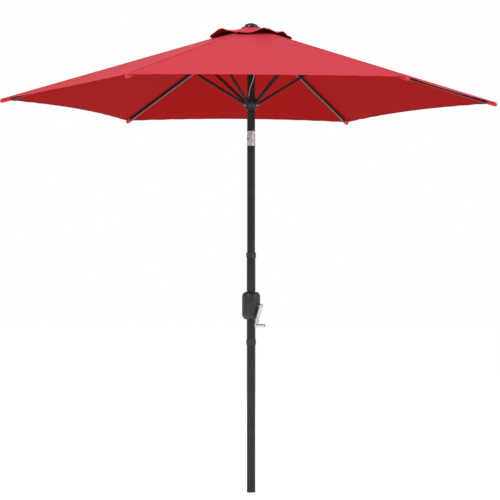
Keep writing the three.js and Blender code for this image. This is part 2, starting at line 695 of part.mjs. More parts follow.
const cheekOut = RIB_WIDTH / 2 + BRACKET_WALL;
const barEnd = RIB_LENGTH - RIB_TIP_LENGTH;

// A steel tube with a flat eye at the hub, and the two-cheeked bracket and pin of its strut.
function rib() {
  const section = roundedBox(RIB_WIDTH, RIB_DEPTH, RIB_CORNER);
  section.holes.push(boxHole(RIB_WIDTH - 2 * RIB_WALL, RIB_DEPTH - 2 * RIB_WALL));
  const eye = alongY(rod(RIB_DEPTH / 2, -RIB_WIDTH / 2, RIB_WIDTH / 2, 12));
  const root = bar(roundedBox(RIB_WIDTH, RIB_DEPTH, RIB_CORNER), 0, RIB_DEPTH * 1.5);
  const cheek = new THREE.Shape();
  const round = STRUT_DEPTH / 2 + STRUT_CLEAR;
  const cheekTop = RIB_DEPTH / 5;
  cheek.moveTo(STRUT_AT - BRACKET_HALF, cheekTop);
  cheek.lineTo(STRUT_AT - BRACKET_HALF, -RIB_DEPTH / 2);
  cheek.absarc(STRUT_AT, -STRUT_DROP, round, rad(180), rad(360));
  cheek.lineTo(STRUT_AT + BRACKET_HALF, -RIB_DEPTH / 2);
  cheek.lineTo(STRUT_AT + BRACKET_HALF, cheekTop);
  const inside = RIB_WIDTH / 2 - 0.2;
  const pin = alongY(rod(STRUT_PIN_R, -cheekOut - 1, cheekOut + 1, 8));
  const wireBore = alongY(rod(RING_WIRE_R + 0.7, -RIB_WIDTH, RIB_WIDTH, 8));
  return worked(bar(section, RIB_DEPTH, barEnd), {
    join: [
      root,
      eye,
      plate(cheek, inside, cheekOut, 4),
      plate(cheek, -cheekOut, -inside, 4),
      pin.translate(STRUT_AT, 0, -STRUT_DROP),
    ],
    cut: [wireBore],
  });
}

// A moulded plug in the rib's open end, with a rounded nose.
function ribTip() {
  const tenonWidth = RIB_WIDTH - 2 * RIB_WALL - 2 * FIT;
  const tenonDepth = RIB_DEPTH - 2 * RIB_WALL - 2 * FIT;
  const tenon = bar(roundedBox(tenonWidth, tenonDepth, 0.5), barEnd - 14, barEnd + 1);
  const shoulder = bar(roundedBox(RIB_WIDTH, RIB_DEPTH, RIB_CORNER), barEnd + FIT, RIB_LENGTH - 6);
  const nose = alongY(rod(RIB_DEPTH / 2, -RIB_WIDTH / 2, RIB_WIDTH / 2, 12));
  return worked(shoulder, { join: [tenon, nose.translate(RIB_LENGTH - 6, 0, 0)] });
}

// The strut's channel is open on its lower side. Both ends are solid eyes.
const strutTop = new THREE.Vector2(STRUT_AT, -STRUT_DROP).rotateAround(new THREE.Vector2(), -RIB_SLOPE);
strutTop.add(new THREE.Vector2(HINGE_R, HUB_Z));
const strutLine = strutTop.clone().sub(new THREE.Vector2(FOOT_R, RUNNER_Z));
const strutLength = strutLine.length();
const strutRise = strutLine.angle();

function strut() {
  const wide = STRUT_WIDTH / 2;
  const high = STRUT_DEPTH / 2;
  const section = new THREE.Shape([
    new THREE.Vector2(-wide, -high), new THREE.Vector2(wide, -high), new THREE.Vector2(wide, high),
    new THREE.Vector2(wide - STRUT_WALL, high),
    new THREE.Vector2(wide - STRUT_WALL, STRUT_WALL - high),
    new THREE.Vector2(STRUT_WALL - wide, STRUT_WALL - high),
    new THREE.Vector2(STRUT_WALL - wide, high), new THREE.Vector2(-wide, high),
  ]);
  const eye = () => alongY(rod(high, -wide, wide, 12));
  const bore = () => alongY(rod(STRUT_PIN_R + 0.5, -2 * wide, 2 * wide, 8));
  return worked(bar(section, 0, strutLength), {
    join: [eye(), eye().translate(strutLength, 0, 0)],
    cut: [bore(), bore().translate(strutLength, 0, 0)],
  });
}

// The cloth that one rib carries: half of the gore on each side of it, with the rib as its ridge.
function canopyPanel() {
  const side = Math.tan(RIB_AT / 2);
  const along = (r) => r * Math.cos(RIB_AT / 2) ** 2;
  const point = (x, y, r, z) => [x, y, z(r)];
  const corners = (z) => [
    point(PANEL_START, 0, PANEL_START, z),
    point(CANOPY_R, 0, CANOPY_R, z),
    ...[1, -1].flatMap((hand) => [PANEL_START, CANOPY_R].map((r) => {
      const x = along(r);
      return point(x, hand * (x * side - PANEL_GAP), r, z);
    })),
  ];
  const positions = [...corners(clothTop), ...corners(clothUnder)].flat();
  // 0 ridge start, 1 ridge end, 2 and 3 left start and end, 4 and 5 right; 6 more for the underside
  const quads = [[0, 1, 3, 2], [0, 4, 5, 1]];
  const rims = [[0, 2], [2, 3], [3, 1], [1, 5], [5, 4], [4, 0]];
  const faces = quads.flatMap(([a, b, c, d]) => [a, b, c, a, c, d]);
  const under = quads.flatMap(([a, b, c, d]) => [a, c, b, a, d, c]).map((i) => i + 6);
  const edges = rims.flatMap(([a, b]) => [a, b, b + 6, a, b + 6, a + 6]);
  const geometry = new THREE.BufferGeometry();
  geometry.setAttribute('position', new THREE.Float32BufferAttribute(positions, 3));
  geometry.setIndex([...faces, ...under, ...edges]);
  geometry.computeVertexNormals();
  return geometry;
}

for (let i = 0; i < RIBS; i += 1) {
  const spoke = new THREE.Group();
  spoke.rotation.z = i * RIB_AT;
  umbrella.add(spoke);
  const ribFrame = new THREE.Group();
  ribFrame.position.set(HINGE_R, 0, HUB_Z);
  ribFrame.rotation.y = RIB_SLOPE;
  spoke.add(ribFrame);
  const strutFrame = new THREE.Group();
  strutFrame.position.set(strutTop.x, 0, strutTop.y);
  strutFrame.rotation.y = Math.PI - strutRise;
  spoke.add(strutFrame);
  piece(ribFrame, `rib_${i + 1}`, rib(), poleCoat());
  piece(ribFrame, `rib_tip_${i + 1}`, ribTip(), blackPlastic());
  piece(strutFrame, `strut_${i + 1}`, strut(), poleCoat());
  piece(spoke, `canopy_panel_${i + 1}`, canopyPanel(), canopyCloth());
}

// The small upper tier that lets wind through, clamped between hub and finial.
function ventCap() {
  const start = HUB_TOP + 0.4;
  const hem = clothTop(VENT_R) + VENT_LIFT;
  const outline = [
    [VENT_HOLE_R, start], [VENT_FLAT_R, start], [VENT_R, hem], [VENT_R, hem + CLOTH],
    [VENT_FLAT_R, start + CLOTH], [VENT_HOLE_R, start + CLOTH], [VENT_HOLE_R, start],
  ];
  return turned(outline, RIBS).rotateZ(RIB_AT / 2);
}

// The tie that is wrapped round the closed canopy lies along the cloth next to its rib's seam.
function closureStrap() {
  const goreSlope = Math.atan(Math.tan(RIB_SLOPE) / Math.cos(RIB_AT / 2));
  const middle = (STRAP_START + STRAP_END) / 2;
  const length = (STRAP_END - STRAP_START) / Math.cos(goreSlope);
  const strap = block(0, 0, STRAP_THICK / 2 + FIT, STRAP_WIDTH, length, STRAP_THICK);
  const lift = clothTop(middle / Math.cos(RIB_AT / 2));
  const turnToRib = (STRAP_RIB - 1) * RIB_AT - RIB_AT / 2 - rad(90);
  return strap.rotateX(-goreSlope).translate(STRAP_X, middle, lift).rotateZ(turnToRib);
}

piece(umbrella, 'vent_cap', ventCap(), canopyCloth());
piece(umbrella, 'closure_strap', closureStrap(), canopyCloth());

// ---------------------------------------------------------------- finial

const flangeBottom = HUB_TOP + 0.4 + CLOTH + FIT;
const finialBottom = flangeBottom + FLANGE_THICK + FIT;
const flange = ring(FLANGE_R, FINIAL_STEM_R + FIT, flangeBottom, flangeBottom + FLANGE_THICK);
piece(umbrella, 'finial_flange', flange, blackPlastic());

function finial() {
  const outline = [
    [0, HUB_TOP + FIT], [FINIAL_STEM_R, HUB_TOP + FIT], [FINIAL_STEM_R, finialBottom],
    [FINIAL_R, finialBottom],
    ...arc(0, finialBottom + 2, FINIAL_R, FINIAL_HEIGHT - 2, 0, 90, 5),
  ];
  outline[outline.length - 1][0] = 0;
  return turned(outline, POLE_SIDES);
}

piece(umbrella, 'finial', finial(), blackPlastic());

// ---------------------------------------------------------------- crank

function crankShaft() {
  const tail = POLE_R + 4;
  return alongX(rod(SHAFT_R, -tail, HOUSING_R + CRANK_BOSS_LENGTH, 12));
}

function cordSpool() {
  const bore = SHAFT_R + FIT;
  const wall = 2;
  const outline = [
    [bore, -SPOOL_EDGE], [SPOOL_EDGE, -SPOOL_EDGE], [SPOOL_EDGE, wall - SPOOL_EDGE],
    [SPOOL_R, wall - SPOOL_EDGE], [SPOOL_R, SPOOL_EDGE - wall],
    [SPOOL_EDGE, SPOOL_EDGE - wall], [SPOOL_EDGE, SPOOL_EDGE], [bore, SPOOL_EDGE],
    [bore, -SPOOL_EDGE],
  ];
  return alongX(turned(outline, 12));
}

const armX = HOUSING_R + CRANK_BOSS_LENGTH - ARM_THICK; // the arm's inner face

// A pressed arm with a groove down its face, a boss on the shaft and a folded ear over the boss.
function crankArm() {
  const bossStart = HOUSING_R + BUSHING_PROUD + FIT;
  const bossEnd = armX + ARM_THICK + 5;
  const boss = alongX(rod(CRANK_BOSS_R, bossStart, bossEnd));
  const half = ARM_WIDTH / 2;
  const section = new THREE.Shape();
  section.absarc(0, 0, half, 0, rad(180));
  section.absarc(0, -ARM_LENGTH, half, rad(180), rad(360));
  const arm = bar(section, armX, armX + ARM_THICK);
  const groove = block(armX + ARM_THICK, 3, -ARM_LENGTH / 2 - 2, 1.6, 4, ARM_LENGTH - 38);
  const shaftBore = alongX(rod(SHAFT_R + FIT, 0, HOUSING_R + CRANK_BOSS_LENGTH + FIT, 12));
  const pinBore = alongX(rod(GRIP_PIN_R + FIT, armX - 5, armX + 20, 8));
  return worked(arm, { join: [boss], cut: [groove, shaftBore, pinBore.translate(0, 0, -ARM_LENGTH)] });
}

const gripStart = armX + ARM_THICK + FIT + 0.4;
const gripHollow = gripStart + GRIP_SEAT;

function gripPin() {
  const head = GRIP_HOLLOW_R - 1;
  const outline = [
    [0, armX - 2], [head, armX - 2], [head, armX - FIT], [GRIP_PIN_R, armX - FIT],
    [GRIP_PIN_R, gripHollow + FIT], [head, gripHollow + FIT], [head, gripHollow + 2.5],
    [0, gripHollow + 2.5],
  ];
  return alongX(turned(outline, 8)).translate(0, 0, -ARM_LENGTH);
}

function crankGrip() {
  const end = gripStart + GRIP_LENGTH;
  const bore = GRIP_PIN_R + FIT;
  const outline = [
    [bore, gripStart], [GRIP_R - 1.5, gripStart], [GRIP_R - 0.8, gripStart + 4],
    [GRIP_R - 0.8, end - 8], [GRIP_R, end - 5], [GRIP_R, end - 1], [GRIP_R - 0.8, end],
    [GRIP_HOLLOW_R, end], [GRIP_HOLLOW_R, gripHollow], [bore, gripHollow], [bore, gripStart],
  ];
  return alongX(turned(outline)).translate(0, 0, -ARM_LENGTH);
}

piece(crankFrame, 'crank_shaft', crankShaft(), springSteel());
piece(crankFrame, 'cord_spool', cordSpool(), blackPlastic());
const armFrame = new THREE.Group();
armFrame.rotation.x = ARM_SWING;
crankFrame.add(armFrame);
piece(armFrame, 'crank_arm', crankArm(), zinc());
piece(armFrame, 'grip_pin', gripPin(), springSteel());
piece(armFrame, 'crank_grip', crankGrip(), zinc());

// ---------------------------------------------------------------- lift cord

const polar = (r, azimuth, z) =>
  new THREE.Vector3(r * Math.cos(azimuth), r * Math.sin(azimuth), z);

// From the spool's side up the pole and through the fork's channel.
function lowerCord() {
  const offset = SPOOL_R + CORD_R + FIT;
  const start = polar(offset, CRANK_AZIMUTH - rad(90), CRANK_Z);
  const channel = polar(CORD_OFFSET, TILT_AZIMUTH + Math.PI, TILT_Z - TILT_BELOW - TILT_SPIGOT - 7);
  const end = polar(CORD_OFFSET, TILT_AZIMUTH + Math.PI, TILT_Z + tiltBaseTop);
  return new Route([start, channel, end]).wire(CORD_R, 4);
}

// From the tongue's channel up the pole, over the pulley and out through the pole's window.
function upperCord() {
  const away = polar(1, PULLEY_AZIMUTH, 0);
  const over = (turn) => away.clone()
    .multiplyScalar(PULLEY_REACH - CORD_LOOP_R * Math.cos(turn))
    .setZ(PULLEY_Z + CORD_LOOP_R * Math.sin(turn));
  const foot = TILT_Z + TILT_ABOVE + TILT_SPIGOT + 4;
  const points = [
    polar(CORD_OFFSET, TILT_AZIMUTH + Math.PI, TILT_Z - 8),
    polar(CORD_OFFSET, TILT_AZIMUTH + Math.PI, foot),
    over(0).setZ(PULLEY_Z - 60),
    ...[0, 30, 60, 90, 120, 150, 180].map((turn) => over(rad(turn))),
  ];
  return new Route(points).wire(CORD_R, 3);
}

// Down outside the pole, a sixth of a turn round it, to the runner's top edge.
function outerCord() {
  const r = PULLEY_REACH + CORD_LOOP_R;
  const top = PULLEY_Z - FIT;
  const end = RUNNER_Z + RUNNER_UP + FIT;
  const steps = 10;
  const points = Array.from({ length: steps + 1 }, (_, i) => {
    const t = i / steps;
    const turn = THREE.MathUtils.smoothstep(t, 0.3, 1);
    const azimuth = THREE.MathUtils.lerp(PULLEY_AZIMUTH, CORD_END_AZIMUTH, turn);
    return polar(r, azimuth, THREE.MathUtils.lerp(top, end, t));
  });
  return new Route(points).wire(CORD_R, 2);
}

piece(umbrella, 'lift_cord_lower', lowerCord(), cordFibre());
piece(umbrella, 'lift_cord_upper', upperCord(), cordFibre());
piece(umbrella, 'lift_cord_outer', outerCord(), cordFibre());

export default umbrella;
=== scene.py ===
"""A patio umbrella with a crank lift and a push-button tilt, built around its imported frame.
Metres, +Z up. The sections follow the umbrella from the foot of its pole to its canopy."""
import json
from math import cos, degrees, pi, radians, sin, tan

import bmesh
import bpy
import numpy as np
from mathutils import Matrix, Vector

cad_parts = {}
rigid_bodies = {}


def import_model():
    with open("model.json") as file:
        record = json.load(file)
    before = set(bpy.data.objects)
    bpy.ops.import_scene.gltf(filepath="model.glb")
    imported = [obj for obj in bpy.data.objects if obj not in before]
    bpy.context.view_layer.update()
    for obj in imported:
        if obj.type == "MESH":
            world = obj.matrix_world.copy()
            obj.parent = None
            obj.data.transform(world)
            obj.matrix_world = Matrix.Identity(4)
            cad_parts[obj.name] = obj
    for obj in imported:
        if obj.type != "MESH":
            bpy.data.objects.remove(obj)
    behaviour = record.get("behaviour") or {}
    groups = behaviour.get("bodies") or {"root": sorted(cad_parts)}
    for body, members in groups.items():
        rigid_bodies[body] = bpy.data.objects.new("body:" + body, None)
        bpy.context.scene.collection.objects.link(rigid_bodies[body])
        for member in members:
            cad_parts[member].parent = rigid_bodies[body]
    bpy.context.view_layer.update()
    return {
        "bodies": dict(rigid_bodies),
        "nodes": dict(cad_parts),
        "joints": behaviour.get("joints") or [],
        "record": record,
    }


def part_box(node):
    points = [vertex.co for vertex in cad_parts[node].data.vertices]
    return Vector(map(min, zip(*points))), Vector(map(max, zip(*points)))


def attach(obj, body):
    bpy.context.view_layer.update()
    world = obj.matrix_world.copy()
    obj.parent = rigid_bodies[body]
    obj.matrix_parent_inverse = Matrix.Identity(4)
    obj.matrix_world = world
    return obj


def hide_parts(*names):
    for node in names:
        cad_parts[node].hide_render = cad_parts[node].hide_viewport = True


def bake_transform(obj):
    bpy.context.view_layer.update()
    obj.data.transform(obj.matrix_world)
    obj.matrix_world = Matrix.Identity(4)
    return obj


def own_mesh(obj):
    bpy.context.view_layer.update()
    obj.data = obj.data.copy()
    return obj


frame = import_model()
scene = bpy.context.scene

# ---------------------------------------------------------------- camera, light and floor
# The umbrella is seen from a standing person's waist, far enough away for straight verticals.
# A big soft key from the upper left and a weaker fill, over a floor that is almost white.

VIEW_DISTANCE = 7.6
VIEW_HEIGHT = 0.925
VIEW_YAW = radians(-4.0)

lens = bpy.data.cameras.new("lens")
lens.lens = 123.6
lens.sensor_width = 36
lens.shift_x = -0.0022
lens.shift_y = 0.0665
lens.clip_end = 60
camera = bpy.data.objects.new("camera", lens)
camera.location = (VIEW_DISTANCE * sin(VIEW_YAW), -VIEW_DISTANCE * cos(VIEW_YAW), VIEW_HEIGHT)
camera.rotation_euler = (pi / 2, 0, VIEW_YAW)
scene.collection.objects.link(camera)
scene.camera = camera

world = bpy.data.worlds.new("studio")
world.use_nodes = True
sky = world.node_tree
sky_light = sky.nodes["Background"]
sky_light.inputs["Color"].default_value = (1, 1, 1, 1)
sky_light.inputs["Strength"].default_value = 0.62
white_sweep = sky.nodes.new("ShaderNodeBackground")
white_sweep.inputs["Color"].default_value = (1, 1, 1, 1)
seen = sky.nodes.new("ShaderNodeLightPath")
either = sky.nodes.new("ShaderNodeMixShader")
sky.links.new(seen.outputs["Is Camera Ray"], either.inputs["Fac"])
sky.links.new(sky_light.outputs["Background"], either.inputs[1])
sky.links.new(white_sweep.outputs["Background"], either.inputs[2])
sky.links.new(either.outputs["Shader"], sky.nodes["World Output"].inputs["Surface"])
scene.world = world
scene.view_settings.view_transform = "Standard"


def soft_light(name, place, aim, size, power):
    data = bpy.data.lights.new(name, "AREA")
    data.shape = "DISK"
    data.size = size
    data.energy = power
    lamp = bpy.data.objects.new(name, data)
    lamp.location = place
    lamp.rotation_euler = (Vector(aim) - Vector(place)).to_track_quat("-Z", "Y").to_euler()
    scene.collection.objects.link(lamp)


soft_light("key", (-3.2, -4.4, 5.2), (0, 0, 1.5), 2.6, 170)
soft_light("fill", (4.6, -3.4, 3.2), (0, 0, 1.2), 2.4, 90)
soft_light("back", (0.5, 5.0, 4.6), (0, 0, 1.6), 2.6, 80)

floor_shape = bpy.data.meshes.new("floor")
FLOOR_HALF = 30
floor_shape.from_pydata(
    [(x * FLOOR_HALF, y * FLOOR_HALF, 0) for x, y in ((-1, -1), (1, -1), (1, 1), (-1, 1))],
    [], [(0, 1, 2, 3)])
floor = bpy.data.objects.new("floor", floor_shape)
scene.collection.objects.link(floor)
floor_finish = bpy.data.materials.new("pale floor")
floor_finish.use_nodes = True
floor_shader = floor_finish.node_tree.nodes["Principled BSDF"]
floor_shader.inputs["Base Color"].default_value = (0.95, 0.95, 0.95, 1)
floor_shader.inputs["Roughness"].default_value = 0.8
floor_shader.inputs["Emission Color"].default_value = (1, 1, 1, 1)
floor_shader.inputs["Emission Strength"].default_value = 0.42
floor_shape.materials.append(floor_finish)

# ---------------------------------------------------------------- foot of the pole
# A moulded cap closes the lower tube. It is black nylon, pressed into the tube by its plug, and
# it stands on the floor of the base's socket.


def group_of(name, inputs, outputs, kind_of_tree="ShaderNodeTree"):
    """A node group with its named sockets and its two end nodes."""
    tree = bpy.data.node_groups.new(name, kind_of_tree)
    for label, kind, value in inputs:
        socket = tree.interface.new_socket(label, in_out="INPUT", socket_type=kind)
        if value is not None:
            socket.default_value = value
    for label, kind in outputs:
        tree.interface.new_socket(label, in_out="OUTPUT", socket_type=kind)
    return tree, tree.nodes.new("NodeGroupInput"), tree.nodes.new("NodeGroupOutput")


def add(tree, kind, **settings):
    """A new node, its properties and inputs set by name."""
    node = tree.nodes.new(kind)
    for key, value in settings.items():
        if key in node.bl_rna.properties:
            setattr(node, key, value)
        else:
            node.inputs[key.replace("_", " ")].default_value = value
    return node


def wire(tree, *links):
    """Links sockets, each given as from node, output, to node, input."""
    for source, output, target, entry in links:
        tree.links.new(source.outputs[output], target.inputs[entry])


def moulded_grain():
    """Fine leathery grain and a slow drift in gloss, as spark-eroded moulds leave on plastic."""
    tree, given, result = group_of(
        "moulded grain",
        [("Grain Size", "NodeSocketFloat", 900.0), ("Drift Size", "NodeSocketFloat", 25.0),
         ("Gloss Low", "NodeSocketFloat", 0.35), ("Gloss High", "NodeSocketFloat", 0.5)],
        [("Height", "NodeSocketFloat"), ("Roughness", "NodeSocketFloat"), ("Dust", "NodeSocketFloat")])
    place = add(tree, "ShaderNodeTexCoord")
    grain = add(tree, "ShaderNodeTexNoise", Detail=3.0)
    drift = add(tree, "ShaderNodeTexNoise", Detail=4.0)
    gloss = add(tree, "ShaderNodeMapRange")
    dust = add(tree, "ShaderNodeMapRange", From_Min=0.5, From_Max=0.85)
    wire(tree, (place, "Object", grain, "Vector"),
         (place, "Object", drift, "Vector"),
         (given, "Grain Size", grain, "Scale"),
         (given, "Drift Size", drift, "Scale"),
         (drift, "Fac", gloss, "Value"),
         (given, "Gloss Low", gloss, "To Min"),
         (given, "Gloss High", gloss, "To Max"),
         (drift, "Fac", dust, "Value"),
         (grain, "Fac", result, "Height"),
         (gloss, "Result", result, "Roughness"),
         (dust, "Result", result, "Dust"))
    return tree


GRAIN = moulded_grain()


def coated(name, base, pale, metallic, grain_size, gloss, depth, drift=25.0, specular=0.5):
    """A finish whose colour, gloss and fine relief vary by the grain group."""
    finish = bpy.data.materials.new(name)
    finish.use_nodes = True
    tree = finish.node_tree
    shader = tree.nodes["Principled BSDF"]
    grain = add(tree, "ShaderNodeGroup")
    grain.node_tree = GRAIN
    grain.inputs["Grain Size"].default_value = grain_size
    grain.inputs["Drift Size"].default_value = drift
    grain.inputs["Gloss Low"].default_value = gloss[0]
    grain.inputs["Gloss High"].default_value = gloss[1]
    tint = add(tree, "ShaderNodeMix", data_type="RGBA")
    tint.inputs["A"].default_value = (*base, 1)
    tint.inputs["B"].default_value = (*pale, 1)
    relief = add(tree, "ShaderNodeBump", Strength=0.35, Distance=depth)
    shader.inputs["Metallic"].default_value = metallic
    shader.inputs["Specular IOR Level"].default_value = specular
    wire(tree, (grain, "Dust", tint, "Factor"),
         (tint, "Result", shader, "Base Color"),
         (grain, "Roughness", shader, "Roughness"),
         (grain, "Height", relief, "Height"),
         (relief, "Normal", shader, "Normal"))
    return finish


black_plastic = coated("satin black nylon", (0.012, 0.012, 0.013), (0.03, 0.029, 0.028), 0.0,
                       1100.0, (0.34, 0.46), 0.00012)


def put(name, shape, body, slot, finish, *nodes):
    """A finished piece, on its body, standing for its nodes of the frame. Without a finish it
    keeps the ones that its mesh has."""
    thing = bpy.data.objects.new(name, shape)
    scene.collection.objects.link(thing)
    if finish is not None:
        shape.materials.clear()
        shape.materials.append(finish)
    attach(thing, body)
    if nodes:
        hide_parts(*nodes)
    return thing


def soften(shape, angle=40):
    """Smooth shading across every edge that is gentler than the angle."""
    for face in shape.polygons:
        face.use_smooth = True
    shape.set_sharp_from_angle(angle=radians(angle))
    return shape


def lathe(outline, around=72, at=(0, 0, 0), turn=None, angle=40):
    """A closed turned shape. The outline is [radius, height] points; both ends are on the axis,
    or else the outline closes on itself."""
    mesh = bmesh.new()
    on_axis = outline[0][0] < 1e-7
    rows = []
    for radius, height in outline:
        if radius < 1e-7:
            rows.append([mesh.verts.new((0, 0, height))])
            continue
        rows.append([
            mesh.verts.new((radius * cos(2 * pi * k / around), radius * sin(2 * pi * k / around), height))
            for k in range(around)])
    pairs = list(zip(rows, rows[1:] if on_axis else rows[1:] + rows[:1]))
    for below, above in pairs:
        for k in range(around):
            m = (k + 1) % around
            corners = [below[k % len(below)], below[m % len(below)],
                       above[m % len(above)], above[k % len(above)]]
            corners = list(dict.fromkeys(corners))
            if len(corners) > 2:
                mesh.faces.new(corners)
    mesh.normal_update()
    bmesh.ops.recalc_face_normals(mesh, faces=mesh.faces)
    if turn is not None:
        mesh.transform(turn)
    mesh.transform(Matrix.Translation(at))
    shape = bpy.data.meshes.new("turned")
    mesh.to_mesh(shape)
    mesh.free()
    return soften(shape, angle)


def bow(centre, size, start, end, steps=6):
    """Points of an elliptical arc of an outline, angles in degrees."""
    angles = [radians(start + (end - start) * k / steps) for k in range(steps + 1)]
    return [(centre[0] + size[0] * cos(a), centre[1] + size[1] * sin(a)) for a in angles]


FIT = 0.0003
pole_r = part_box("lower_tube")[1].x
foot_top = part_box("foot_cap")[1].z
rim_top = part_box("lower_tube")[0].z - FIT
FOOT_EDGE = 0.0012
PLUG_STEP = 0.0017
foot_outline = [
    (0, 0), *bow((pole_r - FOOT_EDGE, FOOT_EDGE), (FOOT_EDGE, FOOT_EDGE), -90, 0, 3),
    (pole_r, rim_top), (pole_r - PLUG_STEP, rim_top), (pole_r - PLUG_STEP, foot_top), (0, foot_top)]
put("foot_plug", lathe(foot_outline), "lower_pole", "black_plastic", black_plastic, "foot_cap")

# ---------------------------------------------------------------- lower tube
# Rolled and welded steel tube under a satin black powder coat. Its top end is swaged down to
# slide into the crank section, so the two halves pull apart for storage.

pole_coat = coated("satin black powder coat", (0.014, 0.014, 0.0155), (0.035, 0.034, 0.034), 0.0,
                   480.0, (0.27, 0.35), 0.00010, drift=9.0, specular=0.28)
lower_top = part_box("lower_tube")[1].z
joint_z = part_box("crank_tube")[0].z - FIT
WALL = 0.0012
SWAGE_R = pole_r - WALL - FIT
lower_outline = [
    (pole_r - WALL, rim_top + FIT), (pole_r, rim_top + FIT), (pole_r, joint_z - 0.0006),
    (SWAGE_R, joint_z), (SWAGE_R, lower_top - 0.001), (SWAGE_R - 0.0006, lower_top),
    (SWAGE_R - WALL, lower_top), (SWAGE_R - WALL, joint_z - 0.008),
    (pole_r - WALL, joint_z - 0.012)]
put("lower_pole_tube", lathe(lower_outline), "lower_pole", "pole_coat", pole_coat, "lower_tube")

# ---------------------------------------------------------------- crank tube and its collars
# The tube that carries the crank, with a nylon collar at each end: the lower one hides the joint
# of the two poles, the upper one the step down to the thinner tube.



def pipe(radius, low, high):
    """A plain tube, from its outer radius and the heights of its ends."""
    return lathe([(radius - WALL, low), (radius, low), (radius, high), (radius - WALL, high)])


crank_low, crank_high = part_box("crank_tube")
put("crank_section_tube", pipe(pole_r, crank_low.z, crank_high.z), "crank_pole", "pole_coat",
    pole_coat, "crank_tube")


def collar(name, node, bore):
    """A moulded ring with rounded ends and a shallow waist."""
    low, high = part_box(node)
    outer = high.x
    edge = 0.0016
    waist = 0.0006
    waist_half = 0.006
    middle = (low.z + high.z) / 2
    outline = [
        (bore, low.z), *bow((outer - edge, low.z + edge), (edge, edge), -90, 0, 4),
        (outer - waist, middle - waist_half), (outer - waist, middle + waist_half),
        *bow((outer - edge, high.z - edge), (edge, edge), 0, 90, 4), (bore, high.z)]
    put(name, lathe(outline), "crank_pole", "black_plastic", black_plastic, node)


collar("pole_joint_collar", "joint_collar", pole_r + 0.0002)
collar("pole_step_collar", "upper_collar", pole_r + 0.0002)

mid_low, mid_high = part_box("mid_tube")
put("middle_tube", pipe(mid_high.x, mid_low.z, mid_high.z), "crank_pole", "pole_coat", pole_coat, "mid_tube")

# ---------------------------------------------------------------- crank housing
# Two nylon mouldings meet in a seam round the housing, and a screw at the back holds them on the
# tube. A bush carries the crank's shaft through the wall.

body_low, body_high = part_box("housing_body")
cap_low, cap_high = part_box("housing_cap")
housing_r = pole_r + 0.0212
seam_z = body_high.z
CRANK_AZIMUTH = radians(-40)
CRANK_Z = 0.826
HOUSING_WALL = 0.0025
ROUND = (housing_r - pole_r - 0.0012, 0.024)
SEAM_EDGE = 0.0009

shell_r = housing_r - ROUND[0]
inner = (ROUND[0] - HOUSING_WALL, ROUND[1] - HOUSING_WALL)
low_round = (shell_r, body_low.z + ROUND[1])
top_round = (shell_r, cap_high.z - ROUND[1])
body_outline = [
    (pole_r + FIT, body_low.z), *bow(low_round, ROUND, -90, 0, 14),
    (housing_r, seam_z - SEAM_EDGE), (housing_r - SEAM_EDGE, seam_z), (housing_r - HOUSING_WALL, seam_z),
    *bow(low_round, inner, 0, -90, 10), (pole_r + FIT, body_low.z + HOUSING_WALL)]
lip = housing_r - HOUSING_WALL - FIT
seam_top = seam_z + FIT
cap_outline = [
    (lip - 0.0024, cap_low.z), (lip, cap_low.z), (lip, seam_top), (housing_r - SEAM_EDGE, seam_top),
    (housing_r, seam_top + SEAM_EDGE), *bow(top_round, ROUND, 0, 90, 14),
    (pole_r + FIT, cap_high.z), (pole_r + FIT, cap_high.z - HOUSING_WALL),
    *bow(top_round, inner, 90, 0, 10), (lip, seam_top + 0.004), (lip - 0.0024, seam_top + 0.001)]
CRANK_LAY = Matrix.Rotation(CRANK_AZIMUTH, 4, "Z") @ Matrix.Rotation(pi / 2, 4, "Y")


def along_crank(height=CRANK_Z):
    """The turn that lays a shape's own axis along the crank's."""
    return Matrix.Translation((0, 0, height)) @ CRANK_LAY


def baked(thing):
    """The mesh that an object's modifiers make. The object itself is removed."""
    bpy.context.view_layer.update()
    graph = bpy.context.evaluated_depsgraph_get()
    shape = bpy.data.meshes.new_from_object(thing.evaluated_get(graph))
    bpy.data.objects.remove(thing)
    return shape


def bored(shape, cutters):
    """The shape with each cutter taken away, as an exact boolean."""
    work = bpy.data.objects.new("work", shape)
    scene.collection.objects.link(work)
    tools = []
    for cutter in cutters:
        tool = bpy.data.objects.new("tool", cutter)
        scene.collection.objects.link(tool)
        cut = work.modifiers.new("cut", "BOOLEAN")
        cut.operation = "DIFFERENCE"
        cut.solver = "EXACT"
        cut.object = tool
        tools.append(tool)
    result = baked(work)
    for tool in tools:
        bpy.data.objects.remove(tool)
    return soften(result)


def crank_hole(radius, start, around):
    """A cutter along the crank's axis, from this far out to beyond the housing."""
    end = 0.06
    return lathe([(0, start), (radius, start), (radius, end), (0, end)], around, turn=along_crank())


BUSH_BORE = 0.0083
BUSH_SEAT_R = 0.0123
bush_hole = crank_hole(BUSH_BORE, pole_r + 0.002, 32)
flange_seat = crank_hole(BUSH_SEAT_R, housing_r - 0.0015, 40)
put("crank_housing_body", bored(lathe(body_outline, 96), [bush_hole, flange_seat]), "crank_pole",
    "black_plastic", black_plastic, "housing_body")
put("crank_housing_cap", lathe(cap_outline, 96), "crank_pole", "black_plastic", black_plastic, "housing_cap")

bush_in, bush_seat, bush_out = housing_r - 0.007, housing_r - 0.0012, housing_r + 0.003
bush_outline = [
    (0.0053, bush_in), (0.008, bush_in), (0.008, bush_seat), (0.012, bush_seat),
    *bow((0.0104, bush_out - 0.0016), (0.0016, 0.0016), 0, 90, 4), (0.0062, bush_out),
    (0.0053, bush_out - 0.001)]
put("crank_shaft_bush", lathe(bush_outline, 48, turn=along_crank()), "crank_pole", "black_plastic",
    black_plastic, "shaft_bushing")

# ---------------------------------------------------------------- screw and brake spring
# A pan-head screw pins the housing to the tube. Inside, a wrap spring grips the shaft so that the
# canopy's weight can't wind the crank back. Both are steel.

